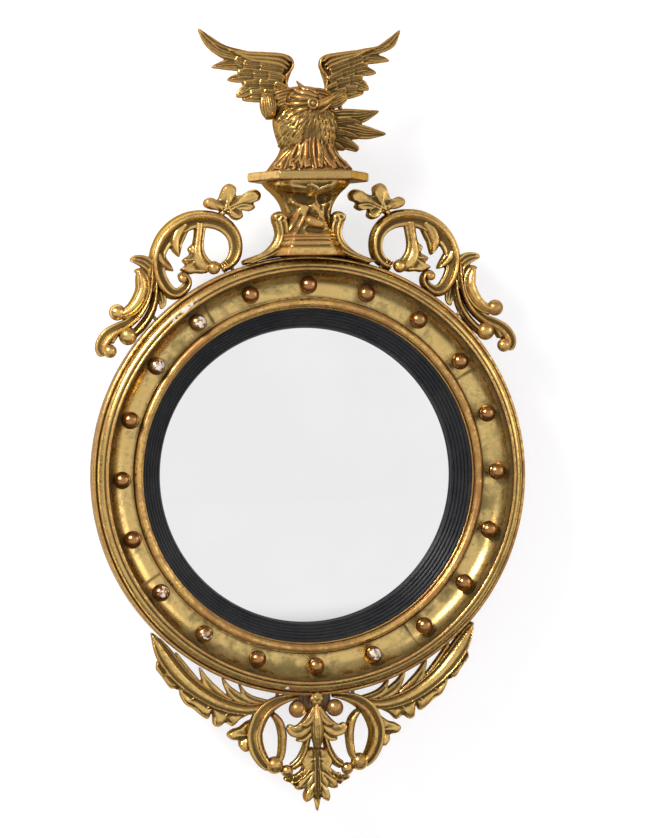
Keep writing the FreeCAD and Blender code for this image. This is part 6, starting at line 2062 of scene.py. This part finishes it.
class MIRROR_OT_oak_leaves(bpy.types.Operator):
    """Carve the lobed leaves on top of the scrolls"""
    bl_idname = "mirror.oak_leaves"
    bl_label = "Oak leaves"

    def execute(self, context):
        both_sides("crest_oak_leaf", oak_shells(), ["oak_leaf_left", "oak_leaf_right"], carving_gilt())
        return {"FINISHED"}


class MIRROR_OT_tendrils(bpy.types.Operator):
    """Carve the outer scrolls, tendrils and stems of the crest with their ball ends"""
    bl_idname = "mirror.tendrils"
    bl_label = "Tendrils"

    def execute(self, context):
        finish = carving_gilt()
        both_sides("crest_outer_scroll", outer_scroll_shells(),
                   ["outer_scroll_left", "outer_scroll_right"], finish)
        both_sides("crest_tendril", tendril_shells(), ["tendril_left", "tendril_right"], finish)
        pair_piece("crest_stem", stem_shells(), "crest_stems", finish)
        pair_piece("crest_ball_ends", knobs(CREST_BALLS), "crest_balls", finish)
        return {"FINISHED"}


class MIRROR_OT_plinth(bpy.types.Operator):
    """Carve the rail, base, rocky body, leaf brackets and platform of the plinth"""
    bl_idname = "mirror.plinth"
    bl_label = "Plinth"

    def execute(self, context):
        finish = plinth_gilt()
        single_piece("plinth_rail", rail_shells(), "crest_rail", finish)
        foot = gilt_material("plinth foot gilding", patina=0.45, tone=0.6, wear=1.0)
        single_piece("plinth_foot", plinth_base_shells(), "plinth_base", foot)
        single_piece("plinth_rockwork", plinth_body_shells(), "plinth_body", finish)
        pair_piece("plinth_leaf_brackets", bracket_shells(), "plinth_brackets", carving_gilt())
        single_piece("plinth_board", platform_shells(), "plinth_platform", platform_gilt())
        return {"FINISHED"}


class MIRROR_OT_eagle(bpy.types.Operator):
    """Carve the eagle and the curling leaves under it"""
    bl_idname = "mirror.eagle"
    bl_label = "Eagle"

    def execute(self, context):
        finish = eagle_gilt()
        fine = context.scene.mirror_carving.fine_grain
        rocks = gilt_material("rock mound gilding", patina=0.3, tone=0.9, wear=1.15, gold=(0.62, 0.37, 0.11),
                              dull=(0.32, 0.15, 0.045))
        single_piece("eagle_mound", mound_shells(), "rock_mound", rocks, fine)
        breast = carve("eagle_breast", breast_shells(), fine)
        place = coordinates(breast) / MM
        # painted shade under the throat and beside the neck
        shade = np.maximum(spot(place, *THROAT_SHADE), 0.6 * spot(place, *NECK_SHADE))
        mark_area(breast, "dirt_and_shade", shade)
        link_piece("eagle_breast", breast, finish, ["eagle_body"])
        face = [moved(shell, HEAD_SHIFT) for shell in head_shells()]
        single_piece("eagle_face", face, "eagle_head", finish, fine)
        single_piece("eagle_tail_fan", tail_shells(), "eagle_tail", finish, fine)
        left = wing_shells() + shoulder_shells(*LEFT_SHOULDER)
        single_piece("eagle_left_wing", left, "eagle_wing_left", finish, fine)
        right = [raised_wing(shell) for shell in wing_shells()]
        right += shoulder_shells(*RIGHT_SHOULDER)
        single_piece("eagle_right_wing", right, "eagle_wing_right", finish, fine)
        return {"FINISHED"}


class MIRROR_OT_apron_loops(bpy.types.Operator):
    """Carve the looped scrolls of the apron, their side leaves and ball ends"""
    bl_idname = "mirror.apron_loops"
    bl_label = "Apron loops"

    def execute(self, context):
        finish = carving_gilt()
        both_sides("apron_loop_scroll", loop_shells(), ["apron_loop_left", "apron_loop_right"], finish)
        leaves = [leaf(SIDE_LEAF_FOOT, SIDE_LEAF_OUTLINE, LEAF_FRONT + 1, LEAF_BACK, 2.2)]
        pair_piece("apron_side_leaves", leaves, "apron_leaves", finish)
        pair_piece("apron_lyre_scrolls", lay(LYRE_LINES, LOOP_BAND, SPINE_FRONT + 4, SPINE_BACK,
                                             start=2, end=2),
                   "apron_lyres", finish)
        pair_piece("apron_ball_ends", knobs(APRON_BALLS), "apron_balls", finish)
        pair_piece("apron_link_leaves", lay(LINK_LINES, SPOON, PENDANT_FRONT, PENDANT_BACK, start=2, end=2),
                   "apron_links", finish)
        return {"FINISHED"}


class MIRROR_OT_acanthus(bpy.types.Operator):
    """Carve the acanthus sprays that hug the ring"""
    bl_idname = "mirror.acanthus"
    bl_label = "Acanthus"

    def execute(self, context):
        finish = carving_gilt()
        both_sides("acanthus_spray", acanthus_shells(), ["acanthus_left", "acanthus_right"], finish)
        inner = lay(INNER_LEAF_LINES, LEAFY, ACANTHUS_FRONT + 2, ACANTHUS_BACK, end=2, thin=0.1)
        pair_piece("acanthus_inner", inner, "acanthus_inner_leaves", finish)
        return {"FINISHED"}


class MIRROR_OT_apron_middle(bpy.types.Operator):
    """Carve the husk, petals, rosette and leaf pendant in the middle of the apron"""
    bl_idname = "mirror.apron_middle"
    bl_label = "Apron middle"

    def execute(self, context):
        finish = carving_gilt()
        single_piece("apron_stalk", spine_shells(), "apron_spine", finish)
        single_piece("apron_seed_husk", husk_shells(), "apron_husk", finish)
        single_piece("apron_flower", rosette_shells(), "apron_rosette", finish)
        pair_piece("apron_petal_sprays", lay(PETAL_LINES, LEAFY, SPINE_FRONT + 3, SPINE_BACK, end=4,
                                             thin=0.1),
                   "apron_petals", finish)
        single_piece("apron_leaf_pendant", pendant_shells(), "apron_pendant", finish)
        return {"FINISHED"}


# ---- stage ----------------------------------------------------------------------------
def stage_material(name, colour, glow, see_through_back, near_dark):
    """Pale surface that reads as white to the camera and keeps a soft shadow."""
    material = bpy.data.materials.new(name)
    material.use_nodes = True
    tree = material.node_tree
    tree.nodes.clear()
    out = tree.nodes.new("ShaderNodeOutputMaterial")
    paint = tree.nodes.new("ShaderNodeBsdfDiffuse")
    paint.inputs["Color"].default_value = rgba(colour)
    light = tree.nodes.new("ShaderNodeEmission")
    light.inputs["Strength"].default_value = glow
    path = tree.nodes.new("ShaderNodeLightPath")
    dim = tree.nodes.new("ShaderNodeBsdfDiffuse")
    dim.inputs["Color"].default_value = (0.36, 0.35, 0.355, 1.0)
    both = tree.nodes.new("ShaderNodeAddShader")
    tree.links.new(dim.outputs[0], both.inputs[0])
    tree.links.new(light.outputs[0], both.inputs[1])
    choose = tree.nodes.new("ShaderNodeMixShader")
    tree.links.new(path.outputs["Is Camera Ray"], choose.inputs["Fac"])
    tree.links.new(paint.outputs[0], choose.inputs[1])
    tree.links.new(both.outputs[0], choose.inputs[2])
    last = choose.outputs[0]
    if near_dark:
        # painted reflection: to glossy rays the floor glows, dim near the wall and brighter farther out
        split = tree.nodes.new("ShaderNodeSeparateXYZ")
        tree.links.new(place_output(tree), split.inputs[0])
        far = ramp(tree, maths(tree, "MULTIPLY", split.outputs["Y"], -1.0), 0.5, 1.15, 0.1, 0.89)
        shine = tree.nodes.new("ShaderNodeEmission")
        tree.links.new(far, shine.inputs["Strength"])
        mirror = tree.nodes.new("ShaderNodeMixShader")
        tree.links.new(path.outputs["Is Glossy Ray"], mirror.inputs["Fac"])
        tree.links.new(last, mirror.inputs[1])
        tree.links.new(shine.outputs[0], mirror.inputs[2])
        last = mirror.outputs[0]
    if see_through_back:
        clear = tree.nodes.new("ShaderNodeBsdfTransparent")
        back = tree.nodes.new("ShaderNodeNewGeometry").outputs["Backfacing"]
        pick = tree.nodes.new("ShaderNodeMixShader")
        tree.links.new(back, pick.inputs["Fac"])
        tree.links.new(last, pick.inputs[1])
        tree.links.new(clear.outputs[0], pick.inputs[2])
        last = pick.outputs[0]
    tree.links.new(last, out.inputs["Surface"])
    return material


def stage_plane(name, corners, material):
    mesh = bpy.data.meshes.new(name)
    mesh.from_pydata(corners, [], [(0, 1, 2, 3)])
    mesh.materials.append(material)
    plane = bpy.data.objects.new(name, mesh)
    bpy.context.scene.collection.objects.link(plane)
    return plane


ROOM_TURN = math.radians(11.0)


def room_light(level):
    """Pale room: bright in front of the wall, darker to the sides and below."""
    world = bpy.data.worlds.new("pale room")
    bpy.context.scene.world = world
    world.use_nodes = True
    tree = world.node_tree
    background = tree.nodes["Background"]
    split = tree.nodes.new("ShaderNodeSeparateXYZ")
    tree.links.new(tree.nodes.new("ShaderNodeTexCoord").outputs["Generated"], split.inputs[0])
    straight = maths(tree, "MULTIPLY", split.outputs["Y"], -math.cos(ROOM_TURN))
    across = maths(tree, "MULTIPLY", split.outputs["X"], math.sin(ROOM_TURN))
    ahead = ramp(tree, maths(tree, "ADD", straight, across), 0.66, 0.88)
    above = ramp(tree, split.outputs["Z"], -0.1, 0.7)
    sides = mix(tree, above, (0.09, 0.085, 0.08, 1.0), (0.32, 0.32, 0.34, 1.0))
    room = mix(tree, ahead, sides, (1.03, 1.025, 1.03, 1.0))
    lit = mix(tree, tree.nodes.new("ShaderNodeLightPath").outputs["Is Camera Ray"], room,
              (1.0, 1.0, 1.0, 1.0))
    tree.links.new(lit, background.inputs["Color"])
    seen = tree.nodes.new("ShaderNodeLightPath").outputs["Is Camera Ray"]
    strength = maths(tree, "ADD", maths(tree, "MULTIPLY", maths(tree, "SUBTRACT", 1.0, seen), level), seen)
    tree.links.new(strength, background.inputs["Strength"])


def soft_lamp(name, power, azimuth, elevation, distance, size, aim):
    lamp = bpy.data.lights.new(name, "AREA")
    lamp.energy = power
    lamp.shape = "DISK"
    lamp.size = size
    lamp.color = (1.0, 0.985, 0.96)
    holder = bpy.data.objects.new(name, lamp)
    bpy.context.scene.collection.objects.link(holder)
    a, e = math.radians(azimuth), math.radians(elevation)
    way = Vector((math.sin(a) * math.cos(e), -math.cos(a) * math.cos(e), math.sin(e)))
    holder.location = aim + way * distance
    holder.rotation_euler = way.to_track_quat("Z", "Y").to_euler()
    return holder


AIM = Vector((14.4, -88.0, 77.1)) * MM
FLOOR_Z = -0.72
STAGE_REACH = 6.0


class MIRROR_OT_stage(bpy.types.Operator):
    """Set the pale backdrop and floor, the soft lamps and the camera"""
    bl_idname = "mirror.stage"
    bl_label = "Stage"

    def execute(self, context):
        look = context.scene.mirror_stage
        reach, y = STAGE_REACH, look.backdrop_gap
        wall = stage_material("pale backdrop", look.backdrop, 0.7, True, False)
        stage_plane("backdrop", [(-reach, y, FLOOR_Z - 0.01), (reach, y, FLOOR_Z - 0.01), (reach, y, reach),
                                 (-reach, y, reach)], wall)
        ground = stage_material("pale floor", look.backdrop, 0.66, False, True)
        stage_plane("floor", [(-reach, -reach, FLOOR_Z), (reach, -reach, FLOOR_Z), (reach, reach, FLOOR_Z),
                              (-reach, reach, FLOOR_Z)], ground)
        room_light(look.world_level)
        soft_lamp("key", look.key_power, -46.0, 30.0, 2.4, 0.8, AIM)
        soft_lamp("fill", look.fill_power, 58.0, 12.0, 2.6, 1.6, AIM)
        self.add_camera(context, look)
        context.scene.view_settings.view_transform = "Standard"
        return {"FINISHED"}

    def add_camera(self, context, look):
        lens = bpy.data.cameras.new("camera")
        lens.lens = look.lens
        lens.sensor_width = 36.0
        lens.sensor_fit = "AUTO"
        lens.clip_start = 0.05
        lens.clip_end = 50.0
        camera = bpy.data.objects.new("camera", lens)
        context.scene.collection.objects.link(camera)
        a, e = look.camera_azimuth, look.camera_elevation
        way = Vector((math.sin(a) * math.cos(e), -math.cos(a) * math.cos(e), math.sin(e)))
        turn = way.to_track_quat("Z", "Y").to_matrix().to_4x4()
        roll = Matrix.Rotation(look.camera_roll, 4, "Z")
        camera.matrix_world = Matrix.Translation(AIM + way * look.camera_distance) @ turn @ roll
        context.scene.camera = camera


OPERATORS = (
    MIRROR_OT_mouldings, MIRROR_OT_cove, MIRROR_OT_balls, MIRROR_OT_glass, MIRROR_OT_backing,
    MIRROR_OT_crest_scrolls, MIRROR_OT_oak_leaves, MIRROR_OT_tendrils, MIRROR_OT_plinth, MIRROR_OT_eagle,
    MIRROR_OT_apron_loops, MIRROR_OT_acanthus, MIRROR_OT_apron_middle, MIRROR_OT_stage,
)


class MIRROR_PT_panel(bpy.types.Panel):
    """Settings of the mirror and a button for each group of pieces"""
    bl_idname = "MIRROR_PT_panel"
    bl_label = "Carved Convex Mirror"
    bl_space_type = "VIEW_3D"
    bl_region_type = "UI"
    bl_category = "Mirror"

    def draw(self, context):
        layout = self.layout
        for group in (context.scene.mirror_gilding, context.scene.mirror_carving, context.scene.mirror_stage):
            box = layout.box()
            for name in group.__annotations__:
                box.prop(group, name)
        for operator in OPERATORS:
            layout.operator(operator.bl_idname)


SETTINGS = {
    "mirror_gilding": GildingSettings, "mirror_carving": CarvingSettings, "mirror_stage": StageSettings,
}


def register():
    for kind in (*SETTINGS.values(), *OPERATORS, MIRROR_PT_panel):
        bpy.utils.register_class(kind)
    for name, kind in SETTINGS.items():
        setattr(bpy.types.Scene, name, bpy.props.PointerProperty(type=kind))


def unregister():
    for name in SETTINGS:
        delattr(bpy.types.Scene, name)
    for kind in reversed((*SETTINGS.values(), *OPERATORS, MIRROR_PT_panel)):
        bpy.utils.unregister_class(kind)


def main():
    register()
    for operator in OPERATORS:
        group, name = operator.bl_idname.split(".")
        if getattr(getattr(bpy.ops, group), name)() != {"FINISHED"}:
            raise RuntimeError(operator.bl_label + " was not made")


if __name__ == "__main__":
    main()
